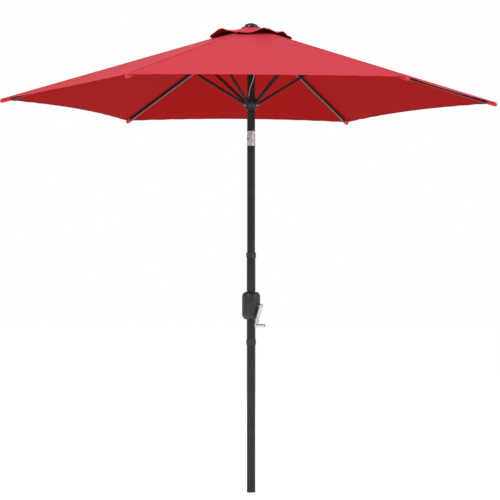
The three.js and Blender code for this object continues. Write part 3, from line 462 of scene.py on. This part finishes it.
steel = coated("bright turned steel", (0.42, 0.42, 0.43), (0.34, 0.33, 0.32), 1.0, 700.0,
               (0.2, 0.38), 0.00005)


def refined(name, node, body, slot, finish, edge=0.0004, angle=38):
    """A cleaned copy of a node of the frame, its hard edges rounded, standing for the node."""
    shape = frame["nodes"][node].data.copy()
    mesh = bmesh.new()
    mesh.from_mesh(shape)
    bmesh.ops.remove_doubles(mesh, verts=mesh.verts, dist=1e-6)
    bmesh.ops.dissolve_limit(mesh, angle_limit=radians(0.5), verts=mesh.verts, edges=mesh.edges)
    mesh.to_mesh(shape)
    mesh.free()
    thing = put(name, shape, body, slot, finish, node)
    if edge:
        round_off = thing.modifiers.new("rounded edges", "BEVEL")
        round_off.width = edge
        round_off.segments = 2
        round_off.limit_method = "ANGLE"
        round_off.angle_limit = radians(angle)
        round_off.use_clamp_overlap = True
    soften(shape, angle)
    return thing


refined("housing_fixing_screw", "housing_screw", "crank_pole", "plain_steel", steel, 0.0002)
refined("one_way_brake_spring", "brake_spring", "crank_pole", "plain_steel", steel, 0)

# ---------------------------------------------------------------- crank
# A turned shaft with its spool, a pressed and plated arm with a groove down its face, and a
# hollow steel grip that spins on a riveted pin.


def brushed(name, base, gloss, streak, depth):
    """Worked metal whose fine lines run along one axis of the object."""
    finish = coated(name, base, tuple(0.8 * c for c in base), 1.0, 420.0, gloss, depth)
    tree = finish.node_tree
    place = add(tree, "ShaderNodeTexCoord")
    stretch = add(tree, "ShaderNodeMapping")
    stretch.inputs["Scale"].default_value = streak
    lines = add(tree, "ShaderNodeTexNoise", Scale=60.0, Detail=5.0)
    relief = add(tree, "ShaderNodeBump", Strength=0.25, Distance=depth)
    first = next(n for n in tree.nodes if n.type == "BUMP")
    wire(tree, (place, "Object", stretch, "Vector"),
         (stretch, "Vector", lines, "Vector"),
         (lines, "Fac", relief, "Height"),
         (first, "Normal", relief, "Normal"),
         (relief, "Normal", tree.nodes["Principled BSDF"], "Normal"))
    return finish


plated = brushed("plated pressed steel", (0.66, 0.66, 0.68), (0.22, 0.36), (12, 12, 1), 0.00006)
refined("crank_turned_shaft", "crank_shaft", "crank", "plain_steel", steel, 0.0006)
refined("cord_winding_spool", "cord_spool", "crank", "black_plastic", black_plastic)
refined("pressed_crank_arm", "crank_arm", "crank", "pressed_steel", plated, 0.0006)
refined("grip_rivet_pin", "grip_pin", "crank", "plain_steel", steel, 0.0004)

grip_joint = next(j for j in frame["joints"] if j["name"] == "grip_spin")
crank_way = Vector((cos(CRANK_AZIMUTH), sin(CRANK_AZIMUTH), 0))
grip_points = [Vector(v.co) for v in frame["nodes"]["crank_grip"].data.vertices]
grip_reach = [p.dot(crank_way) for p in grip_points]
grip_axis = Vector(grip_joint["pos_m"])
grip_axis -= crank_way * grip_axis.dot(crank_way)
GRIP_R = 0.008
GRIP_HOLLOW = 0.0056
GRIP_PIN_HOLE = 0.0028
GRIP_FLOOR = 0.014
grip_in, grip_out = min(grip_reach), max(grip_reach)
grip_outline = [
    (GRIP_PIN_HOLE, grip_in), (GRIP_R - 0.0016, grip_in), (GRIP_R - 0.0008, grip_in + 0.003),
    (GRIP_R - 0.0011, grip_in + 0.016), (GRIP_R - 0.0009, grip_out - 0.012),
    (GRIP_R - 0.0001, grip_out - 0.006),
    *bow((GRIP_R - 0.0012, grip_out - 0.0014), (0.0012, 0.0014), 0, 90, 4), (GRIP_HOLLOW + 0.0006, grip_out),
    (GRIP_HOLLOW, grip_out - 0.0008), (GRIP_HOLLOW, grip_in + GRIP_FLOOR),
    (GRIP_PIN_HOLE, grip_in + GRIP_FLOOR)]
put("hollow_crank_grip", lathe(grip_outline, 48, at=grip_axis, turn=CRANK_LAY), "crank_grip",
    "pressed_steel", plated, "crank_grip")

# ---------------------------------------------------------------- tilt joint
# A die-cast fork and tongue turn on a peened rivet, and a sprung button locks them upright.

zinc = coated("satin zinc casting", (0.6, 0.61, 0.63), (0.44, 0.45, 0.46), 1.0, 260.0,
              (0.3, 0.44), 0.00018, drift=60.0)
refined("tilt_fork_casting", "tilt_fork", "crank_pole", "zinc", zinc, 0.0007)
refined("tilt_tongue_casting", "tilt_tongue", "canopy_pole", "zinc", zinc, 0.0007)
refined("tilt_pivot_rivet", "tilt_rivet", "crank_pole", "zinc", zinc, 0.0005)
refined("tilt_push_button", "tilt_button", "tilt_button", "zinc", zinc, 0.0005)
spring = refined("button_return_spring", "button_spring", "crank_pole", "plain_steel", steel, 0)
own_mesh(spring)

# ---------------------------------------------------------------- upper tube, pulley and hub
# The thin upper tube ends in a moulded hub. The ribs hinge on a wire ring laid in the hub's
# groove, and the lift cord turns over a nylon pulley in a window of the tube.

refined("upper_pole_tube", "upper_tube", "canopy_pole", "pole_coat", pole_coat, 0.0002)
refined("lift_cord_pulley", "cord_pulley", "pulley", "black_plastic", black_plastic, 0.0002)
refined("pulley_cross_pin", "pulley_pin", "canopy_pole", "plain_steel", steel, 0)
refined("rib_hub_moulding", "hub", "canopy_pole", "black_plastic", black_plastic, 0.0005)
refined("rib_hinge_wire", "hub_ring", "canopy_pole", "plain_steel", steel, 0)

# ---------------------------------------------------------------- runner
# The nylon runner slides on the upper tube. Its slotted flange holds the feet of the struts.

refined("strut_runner_moulding", "runner", "runner", "black_plastic", black_plastic, 0.0006)

# ---------------------------------------------------------------- ribs and struts
# Six steel box ribs with riveted brackets, each propped by a channel strut, all powder coated.
# A nylon plug with a round nose closes each rib's outer end.

RIB_NAMES = [name for name in frame["bodies"] if name.startswith("rib_")]
for number in range(1, len(RIB_NAMES) + 1):
    refined(f"steel_rib_{number}", f"rib_{number}", f"rib_{number}", "pole_coat", pole_coat, 0.0004)
    refined(f"rib_end_plug_{number}", f"rib_tip_{number}", f"rib_{number}", "black_plastic",
            black_plastic, 0.0006)
    refined(f"steel_strut_{number}", f"strut_{number}", f"strut_{number}", "pole_coat", pole_coat, 0.0003)

# ---------------------------------------------------------------- canopy cloth
# One sewn canopy of woven polyester, held taut by the ribs. Each gore dips a little between its
# ribs and its hem curves inwards. The cloth is made in halves of a gore.

RIBS = len(RIB_NAMES)
RIB_STEP = 2 * pi / RIBS
SLOPE = radians(16.5)
hinge_at = Vector(next(j for j in frame["joints"] if j["name"] == "rib_1_fold")["pos_m"])
HINGE_R, HUB_Z = hinge_at.x, hinge_at.z
CANOPY_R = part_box("canopy_panel_1")[1].x
CLOTH_START = 0.048
CLOTH_THICK = 0.0008
CLOTH_LIFT = 0.0087
HEM_PULL = 0.044
GORE_SAG = 0.007


def on_rib(size):
    """Height of the cloth over a rib, where the canopy's hexagon has this corner radius."""
    return HUB_Z - (size - HINGE_R) * tan(SLOPE) + CLOTH_LIFT


def cloth_point(number, hand, along, across):
    """A point of the cloth: along from the hub to the hem, across from the rib to mid-gore."""
    bulge = 1 - (1 - across) ** 2
    hem = CANOPY_R - HEM_PULL * bulge / cos(RIB_STEP / 2)
    size = CLOTH_START + (hem - CLOTH_START) * along
    corner = Vector((size, 0))
    middle = Vector((size * cos(RIB_STEP / 2) ** 2, size * cos(RIB_STEP / 2) * sin(RIB_STEP / 2)))
    flat = corner.lerp(middle, across)
    dip = GORE_SAG * bulge * (size / CANOPY_R) ** 1.6
    near = size * across * sin(RIB_STEP / 2)
    calm = (1 - across ** 2) ** 2 * min(1, 8 * across)
    pucker = 0.0008 * sin(size * 2 * pi / 0.033 + 2.1 * sin(size * 11 + number)) * np.exp(-near / 0.035)
    pull = (0.0010 * sin(2 * pi * (near - 0.42 * (CANOPY_R - size)) / 0.085)
            * np.exp(-(CANOPY_R - size) / 0.16))
    height = on_rib(size) - dip + calm * (pucker + pull)
    angle = (number - 1) * RIB_STEP
    x, y = flat.x, flat.y * hand
    return Vector((x * cos(angle) - y * sin(angle), x * sin(angle) + y * cos(angle), height))


def weave():
    """A plain weave of round threads, with slubs, read from the cloth's own map in metres."""
    tree, given, result = group_of(
        "plain weave",
        [("Map", "NodeSocketVector", None), ("Threads", "NodeSocketFloat", 950.0)],
        [("Height", "NodeSocketFloat"), ("Shade", "NodeSocketFloat"), ("Soft", "NodeSocketFloat")])
    warp = add(tree, "ShaderNodeTexWave", wave_type="BANDS", bands_direction="X")
    weft = add(tree, "ShaderNodeTexWave", wave_type="BANDS", bands_direction="Y")
    slub = add(tree, "ShaderNodeTexNoise", Scale=30.0, Detail=6.0)
    slow = add(tree, "ShaderNodeTexNoise", Scale=2.4, Detail=3.0)
    stretch = add(tree, "ShaderNodeMapping")
    stretch.inputs["Scale"].default_value = (14, 1, 1)
    sum_up = add(tree, "ShaderNodeMath", operation="ADD")
    for band in (warp, weft):
        wire(tree, (given, "Map", band, "Vector"),
             (given, "Threads", band, "Scale"))
    wire(tree, (given, "Map", stretch, "Vector"),
         (stretch, "Vector", slub, "Vector"),
         (given, "Map", slow, "Vector"),
         (warp, "Fac", sum_up, 0),
         (weft, "Fac", sum_up, 1),
         (sum_up, "Value", result, "Height"),
         (slub, "Fac", result, "Shade"),
         (slow, "Fac", result, "Soft"))
    return tree


WEAVE = weave()


def woven(name, dark, light, rough=0.86):
    """Woven cloth whose colour drifts between two shades."""
    finish = bpy.data.materials.new(name)
    finish.use_nodes = True
    tree = finish.node_tree
    shader = tree.nodes["Principled BSDF"]
    uv = add(tree, "ShaderNodeUVMap")
    uv.uv_map = "cut"
    cloth = add(tree, "ShaderNodeGroup")
    cloth.node_tree = WEAVE
    tint = add(tree, "ShaderNodeMix", data_type="RGBA")
    tint.inputs["A"].default_value = (*dark, 1)
    tint.inputs["B"].default_value = (*light, 1)
    mixed = add(tree, "ShaderNodeMath", operation="MULTIPLY_ADD")
    mixed.inputs[1].default_value = 0.6
    slow = add(tree, "ShaderNodeMath", operation="MULTIPLY")
    slow.inputs[1].default_value = 0.4
    relief = add(tree, "ShaderNodeBump", Strength=0.3, Distance=0.0002)
    shader.inputs["Roughness"].default_value = rough
    shader.inputs["Sheen Weight"].default_value = 0.008
    shader.inputs["Sheen Roughness"].default_value = 0.5
    shader.inputs["Specular IOR Level"].default_value = 0.05
    wire(tree, (uv, "UV", cloth, "Map"),
         (cloth, "Soft", slow, 0),
         (cloth, "Shade", mixed, 0),
         (slow, "Value", mixed, 2),
         (mixed, "Value", tint, "Factor"),
         (tint, "Result", shader, "Base Color"),
         (cloth, "Height", relief, "Height"),
         (relief, "Normal", shader, "Normal"))
    return finish


red_cloth = woven("red canopy polyester", (0.56, 0.034, 0.052), (0.68, 0.050, 0.074))
# Painted shade: the cloth's underside is a darker, more saturated copy of the top's red, standing in for the
# shade under the canopy.
shaded_underside_cloth = woven("underside polyester, red darkened as painted shade", (0.26, 0.0015, 0.0015),
                    (0.31, 0.0025, 0.0025), 0.9)
thread = coated("red sewing thread", (0.42, 0.02, 0.03), (0.5, 0.04, 0.05), 0.0, 1500.0,
                (0.6, 0.75), 0.0001)


def sheet_mesh(name, rows, thick=CLOTH_THICK, down=True, centred=False, closed=False,
               outside=None, inside=None):
    """A sheet from rows of points, with a map in metres, given its thickness on one side.
    Faces of its lower side take the second material, by default the underside red, darkened as painted shade."""
    count = len(rows[0])
    corners = [p for row in rows for p in row]
    quads = [(r * count + c, r * count + c + 1, (r + 1) * count + c + 1, (r + 1) * count + c)
             for r in range(len(rows) - 1) for c in range(count - 1)]
    shape = bpy.data.meshes.new(name)
    shape.from_pydata(corners, [], quads)
    shape.materials.append(outside or red_cloth)
    shape.materials.append(inside or outside or shaded_underside_cloth)
    mesh = bmesh.new()
    mesh.from_mesh(shape)
    mesh.normal_update()
    if sum(f.normal.z * f.calc_area() for f in mesh.faces) < 0:
        bmesh.ops.reverse_faces(mesh, faces=mesh.faces)
    layer = mesh.loops.layers.uv.new("cut")
    for face in mesh.faces:
        for loop in face.loops:
            r, c = divmod(loop.vert.index, count)
            loop[layer].uv = (c / (count - 1) * (rows[r][-1] - rows[r][0]).length,
                              (rows[r][0] - rows[0][0]).length)
    if closed:
        bmesh.ops.remove_doubles(mesh, verts=mesh.verts, dist=2e-4)
        bmesh.ops.recalc_face_normals(mesh, faces=mesh.faces)
    for face in mesh.faces:
        face.smooth = True
    mesh.to_mesh(shape)
    mesh.free()
    thing = bpy.data.objects.new(name, shape)
    scene.collection.objects.link(thing)
    solid = thing.modifiers.new("cloth thickness", "SOLIDIFY")
    solid.thickness = thick
    solid.offset = 0 if centred else -1 if down else 1
    solid.material_offset = 1
    return soften(baked(thing), 45)


def rib_ways(number):
    """The level way out along a rib, and the level way to its left."""
    turn = (number - 1) * RIB_STEP
    return Vector((cos(turn), sin(turn), 0)), Vector((-sin(turn), cos(turn), 0))


def fold(piece, number, hand, angle, keep):
    """Gives the piece a mesh of its own."""
    out, side = rib_ways(number)
    side = side * hand
    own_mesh(piece)


GORE_FOLD = (28, 0.12)
ALONG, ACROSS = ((70, 40))
for number in range(1, RIBS + 1):
    for hand, side in ((1, "left"), (-1, "right")):
        rows = [[cloth_point(number, hand, a / ALONG, c / ACROSS) for c in range(ACROSS + 1)]
                for a in range(ALONG + 1)]
        stands_for = [f"canopy_panel_{number}"] if hand == 1 else []
        half = put(f"canopy_cloth_{number}_{side}", sheet_mesh(f"canopy_{number}_{side}", rows),
                   f"rib_{number}", "canopy_cloth", None, *stands_for)
        fold(half, number, hand, *GORE_FOLD)

# ---------------------------------------------------------------- canopy seams, hem and pockets
# The gores are joined over each rib in a flat-felled seam. The hem is bound with a strip, darker
# red underneath, and the nose of each rib sits in a small sewn pocket. All of it is lockstitched.

# The hem strip's lower face is a darker red band; its top face is the canopy red.
binding = woven("dark red hem underside", (0.17, 0.006, 0.010), (0.24, 0.010, 0.016))


def stitching():
    """Lockstitches along a line: the thread's own short beads, laid end to end with small gaps."""
    tree, given, result = group_of(
        "lockstitch",
        [("Geometry", "NodeSocketGeometry", None), ("Pitch", "NodeSocketFloat", 0.0045),
         ("Stitch Length", "NodeSocketFloat", 0.0030), ("Thread Radius", "NodeSocketFloat", 0.00035),
         ("Thread", "NodeSocketMaterial", None)],
        [("Geometry", "NodeSocketGeometry")], "GeometryNodeTree")
    line = tree.nodes.new("GeometryNodeMeshToCurve")
    spaced = tree.nodes.new("GeometryNodeResampleCurve")
    spaced.mode = "LENGTH"
    bead = tree.nodes.new("GeometryNodeMeshUVSphere")
    bead.inputs["Segments"].default_value = 6
    bead.inputs["Rings"].default_value = 4
    bead.inputs["Radius"].default_value = 1.0
    half = add(tree, "ShaderNodeMath", operation="MULTIPLY")
    half.inputs[1].default_value = 0.5
    size = tree.nodes.new("ShaderNodeCombineXYZ")
    along = tree.nodes.new("GeometryNodeInputTangent")
    aim = tree.nodes.new("FunctionNodeAlignEulerToVector")
    aim.axis = "X"
    laid = tree.nodes.new("GeometryNodeInstanceOnPoints")
    real = tree.nodes.new("GeometryNodeRealizeInstances")
    dyed = tree.nodes.new("GeometryNodeSetMaterial")
    wire(tree, (given, "Geometry", line, "Mesh"),
         (line, "Curve", spaced, "Curve"),
         (given, "Pitch", spaced, "Length"),
         (given, "Stitch Length", half, 0),
         (half, "Value", size, "X"),
         (given, "Thread Radius", size, "Y"),
         (given, "Thread Radius", size, "Z"),
         (along, "Tangent", aim, "Vector"),
         (spaced, "Curve", laid, "Points"),
         (bead, "Mesh", laid, "Instance"),
         (aim, "Rotation", laid, "Rotation"),
         (size, "Vector", laid, "Scale"),
         (laid, "Instances", real, "Geometry"),
         (real, "Geometry", dyed, "Geometry"),
         (given, "Thread", dyed, "Material"),
         (dyed, "Geometry", result, "Geometry"))
    return tree


LOCKSTITCH = stitching()


def grown(name, shape, tree, **values):
    """What a Geometry Nodes tree makes of a mesh, as a plain mesh."""
    guide = bpy.data.objects.new(name, shape)
    scene.collection.objects.link(guide)
    maker = guide.modifiers.new(tree.name, "NODES")
    maker.node_group = tree
    sockets = {s.name: s.identifier for s in tree.interface.items_tree if s.in_out == "INPUT"}
    for label, value in values.items():
        maker[sockets[label]] = value
    return baked(guide)


def sew(name, body, lines, finish):
    """Stitches along lines of points, as one plain mesh on its body."""
    shape = bpy.data.meshes.new(name)
    corners = [p for line in lines for p in line]
    edges, start = [], 0
    for line in lines:
        edges += [(start + k, start + k + 1) for k in range(len(line) - 1)]
        start += len(line)
    shape.from_pydata(corners, edges, [])
    stitches = grown(name + "_line", shape, LOCKSTITCH, Thread=finish)
    return put(name, soften(stitches, 60), body, "canopy_cloth", finish)


def raised(number, hand, along, across, lift):
    """A point just above or below the canopy's cloth."""
    return cloth_point(number, hand, along, across) + Vector((0, 0, lift))


def beside_rib(along, aside):
    """The share of a half gore that lies this far from the rib."""
    return aside / ((CLOTH_START + (CANOPY_R - CLOTH_START) * along) * sin(RIB_STEP / 2))


HEM_BAND = 0.988
HEM_STITCH = 0.991
SEAM_HALF = 0.0055
POCKET_LENGTH = 0.046
RIB_LENGTH = (CANOPY_R - HINGE_R) / cos(SLOPE)
STRIP_STEPS = 60
SEAM_RUN = np.linspace(0.02, 0.975, 90)
POCKET_NOSE = 0.0045
POCKET_CLOSES = 0.010
POCKET_WIDE, POCKET_TALL = 0.0072, 0.0092
POCKET_ROWS, POCKET_AROUND = 14, 24
for number in range(1, RIBS + 1):
    for hand, side in ((1, "left"), (-1, "right")):
        rows = [[raised(number, hand, along, c / STRIP_STEPS, 0) for c in range(STRIP_STEPS + 1)]
                for along in np.linspace(HEM_BAND, 1.0006, 4)]
        hem = put(f"hem_binding_{number}_{side}",
                  sheet_mesh("hem", rows, 0.0026, centred=True, inside=binding),
                  f"rib_{number}", "canopy_cloth", None)
        fold(hem, number, hand, *GORE_FOLD)
        stitch_line = [raised(number, hand, HEM_STITCH, c / STRIP_STEPS, 0.0014)
                       for c in range(STRIP_STEPS + 1)]
        stitches = sew(f"hem_stitching_{number}_{side}", f"rib_{number}", [stitch_line], thread)
        fold(stitches, number, hand, *GORE_FOLD)

    rows = [[raised(number, hand, along, beside_rib(along, aside), 0.0007)
             for hand, aside in ((-1, SEAM_HALF), (-1, SEAM_HALF / 2), (1, 0), (1, SEAM_HALF / 2),
                                 (1, SEAM_HALF))]
            for along in SEAM_RUN]
    seam = put(f"felled_seam_{number}", sheet_mesh("seam", rows, 0.0011, centred=True), f"rib_{number}",
               "canopy_cloth", red_cloth)
    sew(f"seam_stitching_{number}", f"rib_{number}",
        [[raised(number, hand, along, beside_rib(along, 0.0038), 0.0014) for along in SEAM_RUN]
         for hand in (-1, 1)], thread)

    out, side_way = rib_ways(number)
    down_rib = out * cos(SLOPE) - Vector((0, 0, sin(SLOPE)))
    up_rib = out * sin(SLOPE) + Vector((0, 0, cos(SLOPE)))
    rows = []
    for step in range(POCKET_ROWS + 1):
        reach = RIB_LENGTH - POCKET_LENGTH + (POCKET_LENGTH + POCKET_NOSE) * step / POCKET_ROWS
        close = min(1.0, max(0.0, (RIB_LENGTH + POCKET_NOSE - reach) / POCKET_CLOSES)) ** 0.5
        slack = 1 + 0.05 * sin(step * 1.9) * (step < 11)
        ring = []
        for k in range(POCKET_AROUND + 1):
            angle = 2 * pi * k / POCKET_AROUND
            wide = POCKET_WIDE * slack * max(close, 0.02) * np.sign(cos(angle)) * abs(cos(angle)) ** 0.6
            tall = POCKET_TALL * slack * max(close, 0.02) * np.sign(sin(angle)) * abs(sin(angle)) ** 0.6
            ring.append(out * HINGE_R + Vector((0, 0, HUB_Z)) + down_rib * reach + side_way * wide
                        + up_rib * (tall - 0.0004))
        rows.append(ring)
    pocket = put(f"rib_end_pocket_{number}", sheet_mesh("pocket", rows, 0.0009, closed=True), f"rib_{number}",
                 "canopy_cloth", red_cloth)

# ---------------------------------------------------------------- vent tier
# A small second tier over the canopy's top lets gusts through. It is the same cloth, clamped
# under the finial, and its loose hem stands up in waves between the ribs.

VENT_R = 0.182
VENT_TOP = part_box("vent_cap")[1].z
VENT_FLAT_R = 0.040
VENT_FOLD = (44, 0.06)
# Each wave of the hem: its azimuth and its width in degrees, and its rise.
WAVES = ((213, 15, 0.026), (286, 9, 0.020), (322, 9, 0.014),
         (30, 11, 0.012), (88, 12, 0.018), (150, 12, 0.012))


def vent_point(number, hand, along, across, start, end=1.0):
    """A point of the vent tier, from its flat middle to its hem."""
    share = start + (end - start) * along
    turn = (number - 1) * RIB_STEP + hand * across * RIB_STEP / 2
    azimuth = degrees(turn) % 360
    round_r = VENT_R * (1 - 0.085 * (1 - cos(pi * across)) / 2)
    radius = share * round_r
    edge = max(0.0, (share * VENT_R - VENT_FLAT_R) / (VENT_R - VENT_FLAT_R))
    fall = VENT_TOP - (VENT_TOP - (on_rib(VENT_R) + 0.0075)) * edge ** 0.92
    lift = sum(rise * np.exp(-((azimuth - centre + 180) % 360 - 180) ** 2 / (2 * wide ** 2))
               for centre, wide, rise in WAVES)
    ruffle = 0.0016 * sin(radians(azimuth) * 23 + 1.3) + 0.0012 * sin(radians(azimuth) * 41)
    calm = (1 - across ** 2) ** 2
    height = fall + (lift + ruffle * calm * min(1, 6 * across)) * edge ** 2.4
    return Vector((radius * cos(turn), radius * sin(turn), height))


NECK = 0.34
VENT_ROWS = 26
for number in range(1, RIBS + 1):
    fine = 20
    arc = [(-1, c / fine) for c in range(fine, 0, -1)] + [(1, c / fine) for c in range(fine + 1)]
    rows = [[vent_point(number, hand, a / 8, across, 0.062, NECK) for hand, across in arc] for a in range(9)]
    neck = bpy.data.objects.new(f"vent_tier_neck_{number}", sheet_mesh(f"vent_neck_{number}", rows))
    scene.collection.objects.link(neck)
    out, side_way = rib_ways(number)
    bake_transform(neck)
    if number == 1:
        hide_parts("vent_cap")
    for hand, side in ((1, "left"), (-1, "right")):
        rows = [[vent_point(number, hand, a / VENT_ROWS, c / fine, NECK) for c in range(fine + 1)]
                for a in range(VENT_ROWS + 1)]
        flap = put(f"vent_tier_skirt_{number}_{side}", sheet_mesh(f"vent_{number}_{side}", rows),
                   f"rib_{number}", "canopy_cloth", None)
        fold(flap, number, hand, *VENT_FOLD)
        rows = [[vent_point(number, hand, a / 3, c / fine, 0.95, 1.006) for c in range(fine + 1)]
                for a in range(4)]
        # The vent binding's lower face takes the underside red, darkened as painted shade.
        edge = put(f"vent_binding_{number}_{side}",
                   sheet_mesh("binding", rows, 0.0022, centred=True, inside=shaded_underside_cloth),
                   f"rib_{number}", "canopy_cloth", None)
        fold(edge, number, hand, *VENT_FOLD)

# ---------------------------------------------------------------- finial
# A glossy domed nut screws down on a flange and clamps the vent tier to the hub.

gloss_black = coated("glossy black nylon", (0.008, 0.008, 0.009), (0.02, 0.02, 0.02), 0.0, 1300.0,
                     (0.1, 0.18), 0.00006, specular=0.6)
flange_low, flange_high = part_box("finial_flange")
flange_edge = 0.0009
FLANGE_BORE = 0.0053
flange_outline = [
    (FLANGE_BORE, flange_low.z), *bow((flange_high.x - flange_edge, flange_low.z + flange_edge),
                                 (flange_edge, flange_edge), -90, 0, 3),
    *bow((flange_high.x - flange_edge, flange_high.z - flange_edge), (flange_edge, flange_edge), 0, 90, 3),
    (FLANGE_BORE, flange_high.z)]
put("finial_base_flange", lathe(flange_outline, 96), "canopy_pole", "black_plastic", gloss_black,
    "finial_flange")


def rivet_ring():
    """Domed rivet heads, evenly spaced on a circle."""
    tree, given, result = group_of(
        "rivet ring",
        [("Geometry", "NodeSocketGeometry", None), ("Count", "NodeSocketInt", 8),
         ("Circle Radius", "NodeSocketFloat", 0.037), ("Head Radius", "NodeSocketFloat", 0.0018),
         ("Height", "NodeSocketFloat", None), ("Metal", "NodeSocketMaterial", None)],
        [("Geometry", "NodeSocketGeometry")], "GeometryNodeTree")
    circle = tree.nodes.new("GeometryNodeMeshCircle")
    head = tree.nodes.new("GeometryNodeMeshUVSphere")
    head.inputs["Segments"].default_value = 14
    head.inputs["Rings"].default_value = 8
    laid = tree.nodes.new("GeometryNodeInstanceOnPoints")
    real = tree.nodes.new("GeometryNodeRealizeInstances")
    lifted = tree.nodes.new("GeometryNodeTransform")
    up = tree.nodes.new("ShaderNodeCombineXYZ")
    cast = tree.nodes.new("GeometryNodeSetMaterial")
    wire(tree, (given, "Count", circle, "Vertices"),
         (given, "Circle Radius", circle, "Radius"),
         (given, "Head Radius", head, "Radius"),
         (given, "Height", up, "Z"),
         (circle, "Mesh", laid, "Points"),
         (head, "Mesh", laid, "Instance"),
         (laid, "Instances", real, "Geometry"),
         (real, "Geometry", lifted, "Geometry"),
         (up, "Vector", lifted, "Translation"),
         (lifted, "Geometry", cast, "Geometry"),
         (given, "Metal", cast, "Material"),
         (cast, "Geometry", result, "Geometry"))
    return tree


rivet_shape = grown("rivet_guide", bpy.data.meshes.new("rivet_guide"), rivet_ring(),
                    Height=flange_high.z, Metal=gloss_black)
put("flange_rivets", soften(rivet_shape, 60), "canopy_pole", "black_plastic", gloss_black)

dome_low, dome_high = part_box("finial")
dome_r = dome_high.x
dome_base = flange_high.z + FIT
dome_outline = [
    (0, dome_low.z), (0.005, dome_low.z), (0.005, dome_base), (dome_r - 0.0012, dome_base),
    (dome_r, dome_base + 0.0012), (dome_r, dome_base + 0.0022), (dome_r - 0.0011, dome_base + 0.0028),
    *bow((0, dome_base + 0.0030), (dome_r - 0.0012, dome_high.z - dome_base - 0.0030), 0, 90, 20)[:-1],
    (0, dome_high.z)]
put("finial_dome", lathe(dome_outline, 96), "canopy_pole", "black_plastic", gloss_black, "finial")

# ---------------------------------------------------------------- closure strap
# The tie that goes round the closed canopy is a hemmed strip of the canopy's cloth. It lies flat
# on the back gore while the canopy is open.

strap_low, strap_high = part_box("closure_strap")
STRAP_STEPS = 36
strap_side = 1 - abs(strap_low.x + strap_high.x) / CANOPY_R
strap_hem = (CANOPY_R * cos(RIB_STEP / 2) - HEM_PULL * (1 - (1 - strap_side) ** 2)) + 0.001
strap_end = min(strap_high.y, strap_hem)
strap_rib = next(n for n in frame["record"]["behaviour"]["bodies"] if "closure_strap"
                 in frame["record"]["behaviour"]["bodies"][n])


def strap_height(x, y):
    """The cloth's height on the gore that the strap lies on, whose middle faces +Y."""
    size = y / cos(RIB_STEP / 2)
    across = min(1.0, 2 * (y * tan(RIB_STEP / 2) - abs(x)) / size)
    return on_rib(size) - GORE_SAG * (1 - (1 - across) ** 2) * (size / CANOPY_R) ** 1.6 + 0.0016


rows = []
for step in range(STRAP_STEPS + 1):
    y = strap_low.y + (strap_end - strap_low.y) * step / STRAP_STEPS
    lift = 0.0006 * sin(step * 0.9)
    rows.append([Vector((x, y, strap_height(x, y) + lift))
                 for x in np.linspace(strap_low.x, strap_high.x, 7)])
strap_shape = sheet_mesh("strap", rows, 0.0014, down=False)
strap = put("closure_tie_strap", strap_shape, strap_rib, "canopy_cloth", red_cloth, "closure_strap")
fold(strap, 3, -1, *GORE_FOLD)

# ---------------------------------------------------------------- lift cord
# A braided polyester cord runs from the spool up inside the pole, through the tilt joint, over
# the pulley and down to the runner.

braid = coated("braided lift cord", (0.46, 0.45, 0.42), (0.62, 0.61, 0.57), 0.0, 1600.0, (0.7, 0.85), 0.0003)
refined("lift_cord_in_lower_pole", "lift_cord_lower", "crank_pole", "lift_cord", braid, 0, 60)
refined("lift_cord_over_pulley", "lift_cord_upper", "canopy_pole", "lift_cord", braid, 0, 60)
cord_low, cord_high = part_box("lift_cord_outer")
CORD_R = 0.0015
CORD_STANDS_OFF = 0.0213
CORD_BOW = 0.0016
CORD_STEPS = 90
CORD_AROUND = 14


def cord_middle(share):
    """The cord's line: down from the pulley, then round the front of the pole to the runner."""
    crossing = min(1.0, max(0.0, (share - 0.62) / 0.34))
    azimuth = radians(-60 - 60 * crossing ** 2 * (3 - 2 * crossing))
    reach = CORD_STANDS_OFF + CORD_BOW * sin(pi * share)
    height = (cord_high.z - 0.0002) * (1 - share) + (cord_low.z + 0.0002) * share
    return Vector((reach * cos(azimuth), reach * sin(azimuth), height))


outer = bmesh.new()
rings = []
for step in range(CORD_STEPS + 1):
    share = step / CORD_STEPS
    middle = cord_middle(share)
    away = Vector((middle.x, middle.y, 0)).normalized()
    beside = Vector((-away.y, away.x, 0))
    ways = [2 * pi * k / CORD_AROUND for k in range(CORD_AROUND)]
    rings.append([outer.verts.new(middle + CORD_R * (away * cos(way) + beside * sin(way))) for way in ways])
for above, below in zip(rings, rings[1:]):
    for k in range(CORD_AROUND):
        m = (k + 1) % CORD_AROUND
        outer.faces.new((above[k], above[m], below[m], below[k]))
outer.faces.new(rings[0])
outer.faces.new(rings[-1])
bmesh.ops.recalc_face_normals(outer, faces=outer.faces)
outer_shape = bpy.data.meshes.new("outer_cord")
outer.to_mesh(outer_shape)
outer.free()
soften(outer_shape, 60)
outer_shape.materials.append(braid)
outer_cord = bpy.data.objects.new("lift_cord_to_runner", outer_shape)
scene.collection.objects.link(outer_cord)
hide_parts("lift_cord_outer")
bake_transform(outer_cord)
